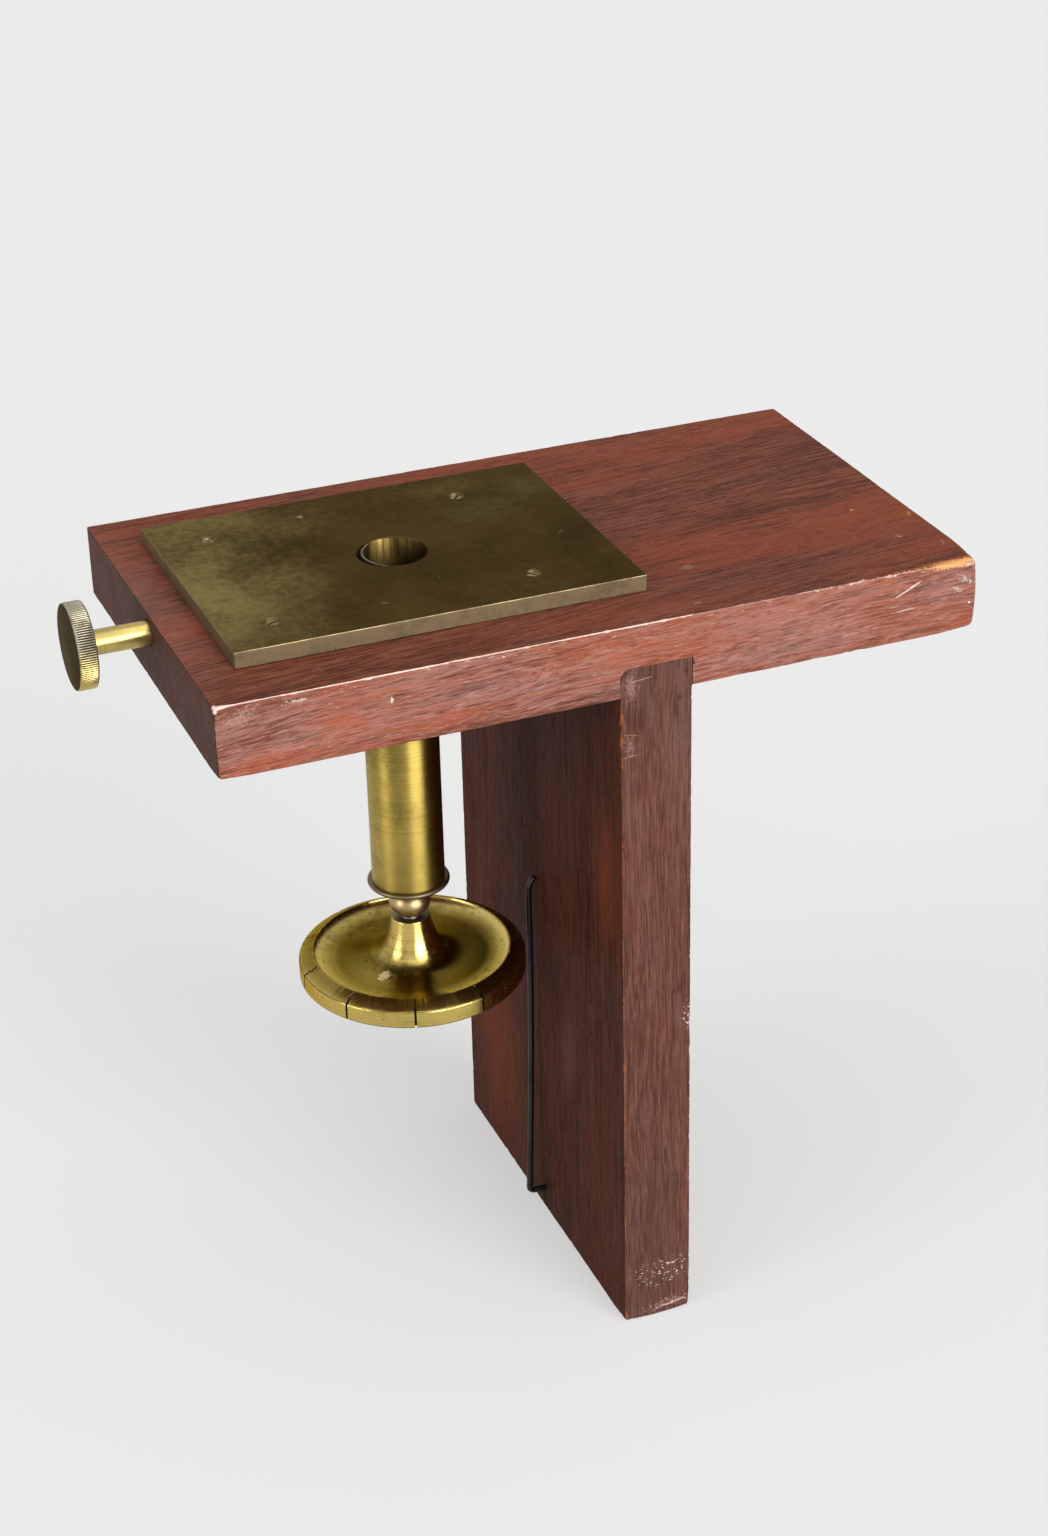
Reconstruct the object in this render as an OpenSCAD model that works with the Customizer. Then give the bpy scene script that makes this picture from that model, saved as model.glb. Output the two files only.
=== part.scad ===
// Table microtome on a wooden T: a top board housed on a leg, a brass cutting plate with a specimen tube
// through it, a feed screw with a notched index wheel below, and a side screw that grips the specimen.
// The origin is the specimen axis at the cutting face. X runs along the board, Y to the back and Z up.
// All lengths are millimetres.

/* [Top board] */
// Length of the top board
board_l = 203; // [180:1:240]
// Width of the top board, and of the leg
board_w = 117.2; // [100:0.1:140]
// Thickness of the top board
board_t = 19.4; // [17:0.1:24]
// Radius of the eased edges of both boards
edge_r = 1.2; // [0.6:0.1:2]
// Specimen axis from the left end of the board
bore_x = 65.3; // [60:0.1:72]
// Specimen axis from the front edge of the board
bore_y = 57.6; // [52:0.1:64]

/* [Leg] */
// Left face of the leg from the left end of the board
leg_x = 103.3; // [102:0.1:112]
// Thickness of the leg
leg_t = 19.4; // [16:0.1:24]
// Drop of the leg below the board
leg_drop = 194.2; // [190:0.1:230]
// Depth of the housing that takes the leg
housing_d = 7.9; // [5:0.1:10]
// Distance of the two leg screws from the middle of the board
leg_screw_y = 30; // [20:0.5:34]

/* [Cutting plate] */
// Length of the cutting plate
plate_l = 107.6; // [100:0.1:118]
// Width of the cutting plate
plate_w = 82.2; // [74:0.1:92]
// Thickness of the cutting plate
plate_t = 4.5; // [3.5:0.1:6]
// Left edge of the plate from the left end of the board
plate_x = 10.6; // [8:0.1:12]
// Front edge of the plate from the front edge of the board
plate_y = 17.3; // [10:0.1:19]
// Radius of the plate's corners
plate_r = 0.8; // [0.3:0.1:3]

/* [Plate screws] */
// Left pair of screws from the specimen axis
screw_left = 41; // [32:0.1:44]
// Right pair of screws from the specimen axis
screw_right = 27.6; // [22:0.1:32]
// Screws to the front and back of the specimen axis
screw_y = 27.3; // [22:0.1:33]
// Width of a plate screw's head
screw_head_d = 4.2; // [3.6:0.1:6]
// Width of a plate screw's shank
screw_d = 2.2; // [1.8:0.1:2.8]
// Length of a plate screw
screw_l = 15; // [10:0.5:18]
// Depth of the heads below the cutting face
screw_sink = 0.5; // [0.2:0.1:0.8]

/* [Tube] */
// Bore of the specimen tube
tube_bore = 17.9; // [16:0.1:20]
// Wall of the tube below the cutting plate
tube_wall = 0.95; // [0.7:0.05:1.4]
// Wall of the spigot that stands in the cutting plate
spigot_wall = 0.53; // [0.4:0.01:0.65]
// Length of the tube from the cutting face to the cap
tube_l = 95.6; // [86:0.1:104]

/* [Tube cap and feed nut] */
// Width of the cap's flange
flange_d = 22.4; // [21:0.1:26]
// Thickness of the cap's flange
flange_t = 1.4; // [1:0.1:3]
// Height of the cap's spigot in the tube
cap_spigot_h = 6; // [4:0.5:8]
// Wall of the cap's spigot
cap_spigot_wall = 2.2; // [1.4:0.1:3]
// Width of the bead on the feed nut
bead_d = 11.3; // [9.5:0.1:13]
// Height of the bead if its lower end were whole
bead_h = 8.6; // [5:0.1:10]
// Width of the bead's flat lower end
bead_end_d = 6.6; // [6.2:0.1:8]
// Flange to the widest part of the bead
bead_drop = 6.2; // [5:0.1:9]
// Width of the neck above the bead
neck_d = 8.8; // [8.4:0.1:9.4]

/* [Specimen plug] */
// Cutting face to the top of the plug at rest
plug_drop = 17.6; // [17:0.1:24]
// Height of the plug
plug_h = 8; // [6:0.1:10]
// Width of the plug screw's head
plug_head_d = 6.4; // [5.6:0.1:7]
// Height of the plug screw's head
plug_head_h = 2; // [1.5:0.1:2.4]
// Width of the plug screw's shank
plug_screw_d = 2.4; // [2:0.1:2.8]

/* [Feed screw] */
// Width of the feed screw over its thread
feed_d = 5.4; // [5:0.1:6]
// Width of the screw where it turns in the plug and seats in the wheel
journal_d = 4.4; // [4:0.1:4.8]
// Gap between the feed nut and the wheel's hub at rest
feed_gap = 1; // [0.6:0.1:4]

/* [Index wheel] */
// Width of the index wheel
wheel_d = 62.2; // [56:0.1:64]
// Height of the rim
rim_h = 5.2; // [4.4:0.1:7]
// Width of the sloping ring that carries the figures
ring_w = 4.1; // [3:0.1:5.5]
// Rise of the ring from the rim to its lip
ring_rise = 1.8; // [0.4:0.1:2.4]
// Height of the hub above the rim
hub_h = 11.8; // [9:0.1:15]
// Width of the hub's top
hub_d = 10.6; // [9:0.1:12]
// Depth of the dish below the ring's lip
dish_depth = 2.2; // [1:0.1:4]
// Radial length of the cove between lip and dish
cove_w = 7; // [3:0.1:9]
// How strongly the hub flares into the dish
flare = 6; // [2:0.1:8]
// Depth of the hollow under the wheel
hollow = 0.6; // [0.2:0.1:0.9]
// Number of notches round the rim
notches = 10; // [6:1:16]
// Width of a notch
notch_w = 0.6; // [0.4:0.1:1.2]
// Depth of a notch
notch_depth = 1.5; // [0.8:0.1:2.8]
// Turn of the first notch from the front
notch_turn = -18.5; // [-36:0.5:36]
// Width of the wheel's nut across its corners
wheel_nut_d = 9.2; // [8:0.1:12]
// Thickness of the wheel's nut
wheel_nut_t = 3.2; // [2:0.1:5]
// Thickness of the washer under the wheel
washer_t = 0.8; // [0.5:0.1:1.5]

/* [Detent wire] */
// Thickness of the wire
wire_d = 1.7; // [1:0.05:2]
// Height of the wire's foot above the foot of the leg
wire_up = 7.2; // [5:0.1:12]
// Length of the wire's bowed run
wire_run = 99; // [88:0.5:110]
// Stand-off of the wire's axis at the foot
wire_low = 5; // [4:0.1:5.6]
// Stand-off of the wire's axis at the top of the run
wire_high = 2.45; // [2.2:0.05:3]
// Length of the foot inside the leg
wire_in = 8; // [5:0.5:14]
// Lean of the wire to the back
wire_lean = 0.85; // [0:0.05:1.5]
// Tilt of the tip towards the leg
tip_tilt = 32; // [25:1:45]

/* [Specimen clamp] */
// Clamp axis below the cutting face
clamp_z = 9.9; // [9.9:0.1:11]
// Width of the clamp screw
clamp_d = 6.5; // [6:0.1:7]
// Length of bare screw between the board and the head
clamp_show = 15.4; // [11:0.1:20]
// Width of the knurled head
head_d = 22.3; // [16:0.1:26]
// Thickness of the knurled head
head_t = 5; // [4:0.1:7]
// Height of the jaw
jaw_h = 15; // [14:0.1:16]
// Width of the jaw
jaw_w = 14.6; // [12:0.1:15]
// Distance the jaw is pressed in at rest
jaw_in = 1.25; // [0.5:0.05:3]
// Length of the boss behind the jaw
boss_l = 4.6; // [4:0.1:6]
// Thickness of the clamp nut
clamp_nut_t = 6; // [4:0.1:8]
// Distance of the clamp nut from the specimen axis
clamp_nut_x = 20; // [16:0.1:24]
// Width of the pin that holds the jaw on the screw
jaw_pin_d = 1; // [0.8:0.1:1.2]

/* [Hidden] */
// Clearance per side of what turns or slides
running = 0.05;
// Clearance per side of what is fixed in a seat
seat = 0.02;
// Play along an axis
play = 0.1;
// Clearance per side of brass that passes through wood
through = 0.3;
// Clearance per side of the jaw in its window
window_clear = 0.15;
// Overshoot of a cut
cut = 1;
$fn = 96;

board_left = -bore_x;
board_front = -bore_y;
board_mid_y = board_w / 2 - bore_y;
board_top = -plate_t;
board_bottom = board_top - board_t;

leg_left = leg_x - bore_x;
leg_mid = leg_left + leg_t / 2;
leg_top = board_bottom + housing_d;
leg_bottom = board_bottom - leg_drop;
leg_screw_d = 4;
leg_screw_head_d = 7.8;
leg_screw_l = 46;

bore_r = tube_bore / 2;
tube_r = bore_r + tube_wall;
spigot_r = bore_r + spigot_wall;
plate_hole_r = spigot_r + seat;
board_hole_r = tube_r + through;

flange_top = -tube_l;
flange_bottom = flange_top - flange_t;
cap_spigot_r = bore_r - seat;
nut_thread_r = cap_spigot_r - cap_spigot_wall;
bead_mid = flange_bottom - bead_drop;
bead_cut = acos(bead_end_d / bead_d);
nut_end = bead_mid - bead_h / 2 * sin(bead_cut);
bead_neck_r = neck_d / 2;

plug_top = -plug_drop;
plug_bottom = plug_top - plug_h;
plug_head_sink = 0.3;
plug_recess = plug_head_h + play + plug_head_sink;
shoulder_z = plug_bottom - play;
pivot_top = plug_top - plug_recess + play;
plug_screw_l = 7;
plug_slot_w = 0.8;
plug_slot_depth = 0.9;

feed_r = feed_d / 2;
journal_r = journal_d / 2;
hub_top = nut_end - feed_gap;
rim_top = hub_top - hub_h;
lip_z = rim_top + ring_rise;
rim_bottom = rim_top - rim_h;
wheel_r = wheel_d / 2;
rim_round = 0.8;
rim_chamfer = 0.4;
ring_slope = atan(ring_rise / ring_w);
lip_r = wheel_r - ring_w;
dish_r = lip_r - cove_w;
dish_z = lip_z - dish_depth;
washer_r = wheel_nut_d / 2 + 0.6;
under_boss_r = washer_r + 0.8;
under_rim_w = 5;
under_rim_r = wheel_r - under_rim_w;
washer_top = rim_bottom;
wheel_nut_top = washer_top - washer_t;
tail_show = 0.8;
tail_end = wheel_nut_top - wheel_nut_t - tail_show;

wire_r = wire_d / 2;
wire_sides = 12;
foot_bend = 1.6;
tip_bend = 5;
wire_bow = 2 * atan((wire_low - wire_high) / wire_run);
wire_bow_r = wire_run / sin(wire_bow);
wire_foot_z = leg_bottom + wire_up;
wire_y = 0.6;
run_low_z = foot_bend * (1 + sin(wire_bow));
run_high_z = run_low_z + wire_run;
tip_from_face = wire_high - tip_bend * (1 - cos(tip_tilt));
tip_l = (tip_from_face - wire_r * cos(tip_tilt) - seat) / sin(tip_tilt);

clamp_r = clamp_d / 2;
clamp_hole_r = clamp_r + through;
boss_r = clamp_r - running;
window_y = jaw_w / 2 + window_clear;
boss_end = jaw_in - tube_r - boss_l;
screw_shoulder = boss_end - play;
pivot_r = 2;
pivot_l = 4;
groove_r = 1.2;
pin_x = screw_shoulder + pivot_l / 2;
pin_y = groove_r + running + jaw_pin_d / 2;
pin_l = 2 * sqrt(pow(boss_r, 2) - pow(pin_y + jaw_pin_d / 2, 2)) - play;
jaw_back = 0.03;
jaw_drop = 0.15;
clamp_nut_w = 13;
clamp_nut_h = 2 * (clamp_z - plate_t - play);
clamp_nut_low = -clamp_z - clamp_nut_h / 2;
head_right = board_left - clamp_show;
head_left = head_right - head_t;
stub_r = 2.2;
stub_l = 3.4;

brass = "#b8993f";
dark_brass = "#6a5f38";
bronze = "#a98a5a";
steel = "#3a3634";
mahogany = "#7d4032";
leg_wood = "#6b3a2c";

// A rectangle from the origin with round corners
module round_rect(size, r) {
    translate([r, 0])
        square([size.x - 2 * r, size.y]);
    translate([0, r])
        square([size.x, size.y - 2 * r]);
    for (x = [r, size.x - r], y = [r, size.y - r])
        translate([x, y])
            circle(r = r);
}

// A bar with its lower front left corner at the origin and all its edges eased
module eased_bar(size, r) {
    intersection() {
        linear_extrude(size.z)
            round_rect([size.x, size.y], r);
        translate([0, size.y, 0])
            rotate([90, 0, 0])
                linear_extrude(size.y)
                    round_rect([size.x, size.z], r);
        rotate([90, 0, 90])
            linear_extrude(size.x)
                round_rect([size.y, size.z], r);
    }
}

// A shaft of radius r between two heights on the specimen axis
module shaft(r, low, high) {
    translate([0, 0, low])
        cylinder(r = r, h = high - low);
}

// A shaft of radius r between two places on the clamp axis
module cross_shaft(r, left, right) {
    translate([left, 0, -clamp_z])
        rotate([0, 90, 0])
            cylinder(r = r, h = right - left);
}

// A countersunk wood screw that hangs from the top of its head
module wood_screw(head, shank, length) {
    cone = (head - shank) / 2;
    tip = 1.5 * shank;
    tip_d = 0.4;
    slot_w = head / 7;
    slot_depth = head / 6;
    difference() {
        union() {
            translate([0, 0, -cone])
                cylinder(d1 = shank, d2 = head, h = cone);
            translate([0, 0, tip - length])
                cylinder(d = shank, h = length - tip - cone);
            translate([0, 0, -length])
                cylinder(d1 = tip_d, d2 = shank, h = tip);
        }
        translate([-head, -slot_w / 2, -slot_depth])
            cube([2 * head, slot_w, slot_depth + cut]);
    }
}

// The countersink and hole for a wood screw whose head lies sink below the surface
module wood_screw_hole(head, shank, length, sink) {
    cone = (head - shank) / 2;
    translate([0, 0, -sink])
        cylinder(d = head + 2 * seat, h = sink + cut);
    translate([0, 0, -sink - cone])
        cylinder(d1 = shank + 2 * seat, d2 = head + 2 * seat, h = cone);
    translate([0, 0, -sink - length - play])
        cylinder(d = shank + 2 * seat, h = length + play);
}

// Puts its children at the four plate screws
module at_plate_screws() {
    for (x = [-screw_left, screw_right], y = [-screw_y, screw_y])
        translate([x, y, 0])
            children();
}

// Puts its children at the two leg screws, on the top of the board
module at_leg_screws() {
    for (side = [-1, 1])
        translate([leg_mid, board_mid_y + side * leg_screw_y, board_top])
            children();
}

// Top board, with the tube's hole, the housing for the leg and the way in for the clamp screw
module top_board() {
    color(mahogany)
        difference() {
            translate([board_left, board_front, board_bottom])
                eased_bar([board_l, board_w, board_t], edge_r);
            shaft(board_hole_r, board_bottom - cut, board_top + cut);
            translate([leg_left - seat, board_front - cut, board_bottom - cut])
                cube([leg_t + 2 * seat, board_w + 2 * cut, housing_d + cut]);
            cross_shaft(clamp_hole_r, board_left - cut, 0);
            translate([-clamp_nut_x - clamp_nut_t - seat, -clamp_nut_w / 2 - seat, clamp_nut_low - play])
                cube([clamp_nut_t + 2 * seat, clamp_nut_w + 2 * seat, board_t]);
            at_plate_screws()
                wood_screw_hole(screw_head_d, screw_d, screw_l, screw_sink);
            at_leg_screws()
                wood_screw_hole(leg_screw_head_d, leg_screw_d, leg_screw_l, play);
        }
}

// Upright board that stands in the housing
module leg() {
    color(leg_wood)
        difference() {
            translate([leg_left, board_front, leg_bottom])
                eased_bar([leg_t, board_w, leg_top - leg_bottom + edge_r], edge_r);
            translate([leg_left - cut, board_front - cut, leg_top])
                cube([leg_t + 2 * cut, board_w + 2 * cut, edge_r + cut]);
            at_leg_screws()
                wood_screw_hole(leg_screw_head_d, leg_screw_d, leg_screw_l, play);
            translate([leg_left - cut, wire_y, wire_foot_z])
                rotate([0, 90, 0])
                    cylinder(r = wire_r + seat, h = wire_in + cut + play);
        }
}

// Two wood screws under the cutting plate that hold the leg in its housing
module leg_screws() {
    color(steel)
        at_leg_screws()
            translate([0, 0, -play])
                wood_screw(leg_screw_head_d, leg_screw_d, leg_screw_l);
}

// Brass plate that the razor slides on
module cutting_plate() {
    color(dark_brass)
        difference() {
            translate([board_left + plate_x, board_front + plate_y, -plate_t])
                linear_extrude(plate_t)
                    round_rect([plate_l, plate_w], plate_r);
            shaft(plate_hole_r, -plate_t - cut, cut);
            at_plate_screws()
                wood_screw_hole(screw_head_d, screw_d, screw_l, screw_sink);
        }
}

// Four wood screws that hold the cutting plate
module plate_screws() {
    color(brass)
        at_plate_screws()
            translate([0, 0, -screw_sink])
                wood_screw(screw_head_d, screw_d, screw_l);
}

// Specimen tube, turned down to a spigot in the plate, with the jaw's window on its left
module tube() {
    color(brass)
        difference() {
            union() {
                shaft(spigot_r, -plate_t, 0);
                shaft(tube_r, flange_top, -plate_t);
            }
            shaft(bore_r, flange_top - cut, cut);
            translate([-tube_r - cut, -window_y, -jaw_h - play])
                cube([tube_r + cut, 2 * window_y, jaw_h + play + cut]);
        }
}

// Flanged cap in the lower end of the tube
module tube_cap() {
    color(bronze)
        rotate_extrude()
            difference() {
                union() {
                    translate([0, flange_bottom])
                        square([flange_d / 2 - flange_t / 2, flange_t]);
                    translate([flange_d / 2 - flange_t / 2, flange_bottom + flange_t / 2])
                        circle(d = flange_t);
                    translate([0, flange_bottom])
                        square([cap_spigot_r, flange_t + cap_spigot_h]);
                }
                translate([-cut - flange_d, flange_bottom - cut])
                    square([cut + flange_d + nut_thread_r + seat, tube_l]);
            }
}

// Nut of the feed screw, screwed up into the cap, with a turned bead on its neck
module feed_nut() {
    bead_steps = 20;
    color(bronze)
        rotate_extrude()
            difference() {
                union() {
                    translate([0, flange_bottom])
                        square([nut_thread_r, flange_t + cap_spigot_h]);
                    translate([0, bead_mid])
                        square([bead_neck_r, flange_bottom - bead_mid]);
                    polygon([
                        for (i = [0 : bead_steps])
                            let (a = -bead_cut + (90 + bead_cut) * i / bead_steps)
                                [bead_d / 2 * cos(a), bead_mid + bead_h / 2 * sin(a)],
                        [0, nut_end]
                    ]);
                }
                translate([-cut, nut_end - cut])
                    square([cut + feed_r + running, tube_l]);
            }
}

// Plug that carries the specimen up the tube
module plug() {
    color(brass)
        difference() {
            shaft(bore_r - running, plug_bottom, plug_top);
            shaft(journal_r + running, plug_bottom - cut, plug_top);
            shaft(plug_head_d / 2 + running, plug_top - plug_recess, plug_top + cut);
        }
}

// Screw that holds the plug on the end of the feed screw and lets it turn
module plug_screw() {
    color(steel)
        difference() {
            union() {
                shaft(plug_head_d / 2, pivot_top, pivot_top + plug_head_h);
                shaft(plug_screw_d / 2, pivot_top - plug_screw_l, pivot_top);
            }
            translate([-plug_head_d, -plug_slot_w / 2, pivot_top + plug_head_h - plug_slot_depth])
                cube([2 * plug_head_d, plug_slot_w, plug_slot_depth + cut]);
        }
}

// Feed screw, with a journal in the plug and a tail through the wheel
module feed_screw() {
    color(steel)
        difference() {
            union() {
                shaft(journal_r, shoulder_z, pivot_top);
                shaft(feed_r, hub_top, shoulder_z);
                shaft(journal_r, tail_end, hub_top);
            }
            shaft(plug_screw_d / 2 + seat, pivot_top - plug_screw_l - play, pivot_top + cut);
        }
}

// Height of the hub's flare below its top at radius r
function flare_z(r) =
    let (run = dish_r - hub_d / 2, drop = hub_top - dish_z)
        -drop * (1 - pow((dish_r - r) / run, flare));

// Notched index wheel: a tall hub that flares into a dish, and a raised ring that slopes to the rim
module index_wheel() {
    flare_steps = 14;
    rim_steps = 5;
    flare_line = [
        for (i = [0 : flare_steps])
            let (r = hub_d / 2 + (dish_r - hub_d / 2) * pow(i / flare_steps, 2))
                [r, hub_top + flare_z(r)]
    ];
    cove = [
        for (a = [15 : 15 : 90])
            [dish_r + cove_w * sin(a), lip_z - dish_depth * cos(a)]
    ];
    rim_edge = [
        for (i = [0 : rim_steps])
            let (a = (90 - ring_slope) * (1 - i / rim_steps))
                [wheel_r - rim_round + rim_round * cos(a), rim_top - rim_round + rim_round * sin(a)]
    ];
    underside = [
        [wheel_r, rim_bottom + rim_chamfer],
        [wheel_r - rim_chamfer, rim_bottom],
        [under_rim_r, rim_bottom],
        [under_rim_r - hollow, rim_bottom + hollow],
        [under_boss_r + hollow, rim_bottom + hollow],
        [under_boss_r, rim_bottom]
    ];
    bore = journal_r + seat;
    color(brass)
        difference() {
            rotate_extrude()
                polygon(concat(flare_line, cove, rim_edge, underside, [[bore, rim_bottom], [bore, hub_top]]));
            for (i = [0 : notches - 1])
                rotate([0, 0, notch_turn + i * 360 / notches])
                    translate([-notch_w / 2, -wheel_r - cut, rim_bottom - cut])
                        cube([notch_w, notch_depth + cut, rim_h + ring_rise + 2 * cut]);
        }
}

// Washer between the wheel and its nut
module wheel_washer() {
    color(brass)
        difference() {
            shaft(washer_r, washer_top - washer_t, washer_top);
            shaft(journal_r + seat, washer_top - washer_t - cut, washer_top + cut);
        }
}

// Six-sided nut that holds the wheel on the feed screw
module wheel_nut() {
    color(steel)
        difference() {
            translate([0, 0, wheel_nut_top - wheel_nut_t])
                cylinder(d = wheel_nut_d, h = wheel_nut_t, $fn = 6);
            shaft(journal_r + seat, wheel_nut_top - wheel_nut_t - cut, wheel_nut_top + cut);
        }
}

// Points round a bend of the wire as [x, z, heading], where side says which way the wire heads
function wire_bend(centre, r, from, turn, steps, side) = [
    for (i = [0 : steps])
        let (a = from + turn * i / steps)
            [centre.x + r * cos(a), centre.y + r * sin(a), a + side * 90]
];

// Round section of the wire at a point of its path
function wire_ring(p) = [
    for (i = [0 : wire_sides - 1])
        let (a = i * 360 / wire_sides)
            [
                p[0] - wire_r * cos(a) * sin(p[2]),
                wire_r * sin(a),
                p[1] + wire_r * cos(a) * cos(p[2])
            ]
];

// Springy wire with its foot in the leg, its run beside the wheel and its tip back on the leg
module detent_wire() {
    low = [-wire_high - wire_bow_r * (1 - cos(wire_bow)), run_low_z];
    high = [-wire_high, run_high_z];
    foot = low + foot_bend * [cos(wire_bow), -sin(wire_bow)];
    tip = high + tip_bend * [1 - cos(tip_tilt), sin(tip_tilt)];
    // The bend and the tip meet the run at its ends, so the run's own points lie between them
    path = concat(
        [[wire_in, 0, 180]],
        wire_bend(foot, foot_bend, 270, -90 - wire_bow, 7, -1),
        wire_bend([high.x - wire_bow_r, high.y], wire_bow_r, 0.9 * -wire_bow, 0.8 * wire_bow, 8, 1),
        wire_bend([high.x + tip_bend, high.y], tip_bend, 180, -tip_tilt, 4, -1),
        [[tip.x + tip_l * sin(tip_tilt), tip.y + tip_l * cos(tip_tilt), 90 - tip_tilt]]
    );
    last = len(path) - 1;
    sides = [
        for (i = [0 : last - 1], j = [0 : wire_sides - 1])
            let (k = (j + 1) % wire_sides)
                [i * wire_sides + j, (i + 1) * wire_sides + j, (i + 1) * wire_sides + k, i * wire_sides + k]
    ];
    ends = [
        [for (j = [0 : wire_sides - 1]) j],
        [for (j = [wire_sides - 1 : -1 : 0]) last * wire_sides + j]
    ];
    color(steel)
        translate([leg_left, wire_y, wire_foot_z])
            rotate([-wire_lean, 0, 0])
                polyhedron([for (p = path) each wire_ring(p)], concat(sides, ends));
}

// Square nut of the clamp screw, let into the board under the cutting plate
module clamp_nut() {
    color(brass)
        difference() {
            translate([-clamp_nut_x - clamp_nut_t, -clamp_nut_w / 2, clamp_nut_low])
                cube([clamp_nut_t, clamp_nut_w, clamp_nut_h]);
            cross_shaft(clamp_r + running, -clamp_nut_x - clamp_nut_t - cut, -clamp_nut_x + cut);
        }
}

// Curved jaw in the tube's window, with a boss that turns on the end of the clamp screw
module clamp_jaw() {
    color(brass)
        difference() {
            union() {
                intersection() {
                    translate([jaw_in, 0, 0])
                        difference() {
                            union() {
                                shaft(spigot_r - jaw_back, -plate_t - jaw_back, -jaw_drop);
                                shaft(tube_r - jaw_back, -jaw_h, -plate_t - jaw_back);
                            }
                            shaft(bore_r, -jaw_h - cut, cut);
                        }
                    translate([jaw_in - tube_r - cut, -jaw_w / 2, -jaw_h - cut])
                        cube([tube_r + cut, jaw_w, jaw_h + 2 * cut]);
                }
                cross_shaft(boss_r, boss_end, jaw_in - bore_r - play);
            }
            cross_shaft(pivot_r + running, boss_end - cut, screw_shoulder + pivot_l + play);
            translate([pin_x, pin_y, -clamp_z - boss_r - cut])
                cylinder(d = jaw_pin_d + 2 * seat, h = 2 * boss_r + 2 * cut);
        }
}

// Pin through the jaw's boss that runs in the groove of the clamp screw
module jaw_pin() {
    color(steel)
        translate([pin_x, pin_y, -clamp_z - pin_l / 2])
            cylinder(d = jaw_pin_d, h = pin_l);
}

// Clamp screw, with a grooved pivot for the jaw and a stub for its head
module clamp_screw() {
    color(brass)
        difference() {
            union() {
                cross_shaft(clamp_r, head_right, screw_shoulder);
                cross_shaft(pivot_r, screw_shoulder, screw_shoulder + pivot_l);
                cross_shaft(stub_r, head_right - stub_l, head_right);
            }
            difference() {
                cross_shaft(pivot_r + cut, pin_x - jaw_pin_d / 2 - running, pin_x + jaw_pin_d / 2 + running);
                cross_shaft(groove_r, pin_x - jaw_pin_d, pin_x + jaw_pin_d);
            }
        }
}

// Head of the clamp screw, with broken edges
module clamp_head() {
    head_edge = 0.5;
    r = head_d / 2;
    color(dark_brass)
        difference() {
            translate([head_left, 0, -clamp_z])
                rotate([0, 90, 0])
                    rotate_extrude()
                        polygon([
                            [0, 0], [r - head_edge, 0], [r, head_edge],
                            [r, head_t - head_edge], [r - head_edge, head_t], [0, head_t]
                        ]);
            cross_shaft(stub_r + seat, head_right - stub_l - play, head_right + cut);
        }
}

top_board();
leg();
leg_screws();
cutting_plate();
plate_screws();
tube();
tube_cap();
feed_nut();
plug();
plug_screw();
feed_screw();
index_wheel();
wheel_washer();
wheel_nut();
detent_wire();
clamp_nut();
clamp_jaw();
jaw_pin();
clamp_screw();
clamp_head();
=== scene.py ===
from math import acos, atan, atan2, cos, degrees, exp, hypot, radians, sin, tau
import bmesh
import bpy
from mathutils import Matrix, Vector, noise


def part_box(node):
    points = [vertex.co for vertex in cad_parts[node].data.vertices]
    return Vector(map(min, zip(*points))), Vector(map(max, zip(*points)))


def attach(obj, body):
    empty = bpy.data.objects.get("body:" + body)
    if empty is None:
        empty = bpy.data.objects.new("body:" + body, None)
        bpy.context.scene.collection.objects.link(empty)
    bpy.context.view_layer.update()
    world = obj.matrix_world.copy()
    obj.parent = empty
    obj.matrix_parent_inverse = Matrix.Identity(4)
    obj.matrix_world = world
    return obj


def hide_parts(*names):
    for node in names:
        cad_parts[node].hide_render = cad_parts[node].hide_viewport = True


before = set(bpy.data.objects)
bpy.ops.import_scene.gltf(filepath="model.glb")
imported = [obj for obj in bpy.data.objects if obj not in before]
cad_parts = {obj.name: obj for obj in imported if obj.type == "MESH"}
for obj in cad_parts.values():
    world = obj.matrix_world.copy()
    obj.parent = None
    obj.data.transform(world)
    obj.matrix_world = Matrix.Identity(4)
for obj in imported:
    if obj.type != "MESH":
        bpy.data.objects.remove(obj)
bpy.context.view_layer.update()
print("frame loaded")

mm = 0.001


def addObject(name, data):
    made = bpy.data.objects.new(name, data)
    bpy.context.scene.collection.objects.link(made)
    return made


# Camera and lamps

view = {
    "place": (-0.2161, -0.6409, 0.2970),
    "turn": (61.9025, 1.2973, -22.0372),
    "lens": 67.617,
    "sensor": 36.0,
}
camera = addObject("camera", bpy.data.cameras.new("camera"))
camera.location = view["place"]
camera.rotation_euler = [radians(a) for a in view["turn"]]
camera.data.lens = view["lens"]
camera.data.sensor_width = view["sensor"]
bpy.context.scene.camera = camera

lampDistance = 2.0
lamps = {
    "side": {"azimuth": 192, "elevation": 17, "angle": 29, "strength": 1.0},
    "front": {"azimuth": -72, "elevation": 17, "angle": 43, "strength": 3.3},
    "dome": {"azimuth": -110, "elevation": 70, "angle": 70, "strength": 1.2},
}


def addLamp(name, spec):
    azimuth, elevation = radians(spec["azimuth"]), radians(spec["elevation"])
    level = cos(elevation)
    out = Vector((cos(azimuth) * level, sin(azimuth) * level, sin(elevation)))
    lamp = addObject(name, bpy.data.lights.new(name, "SUN"))
    lamp.data.energy = spec["strength"]
    lamp.data.angle = radians(spec["angle"])
    lamp.location = lampDistance * out
    lamp.rotation_mode = "QUATERNION"
    lamp.rotation_quaternion = out.to_track_quat("Z", "Y")


for lampName, lampSpec in lamps.items():
    addLamp(lampName, lampSpec)

bpy.context.scene.view_settings.view_transform = "Standard"
print("camera and lamps set")


# Finishes

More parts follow.
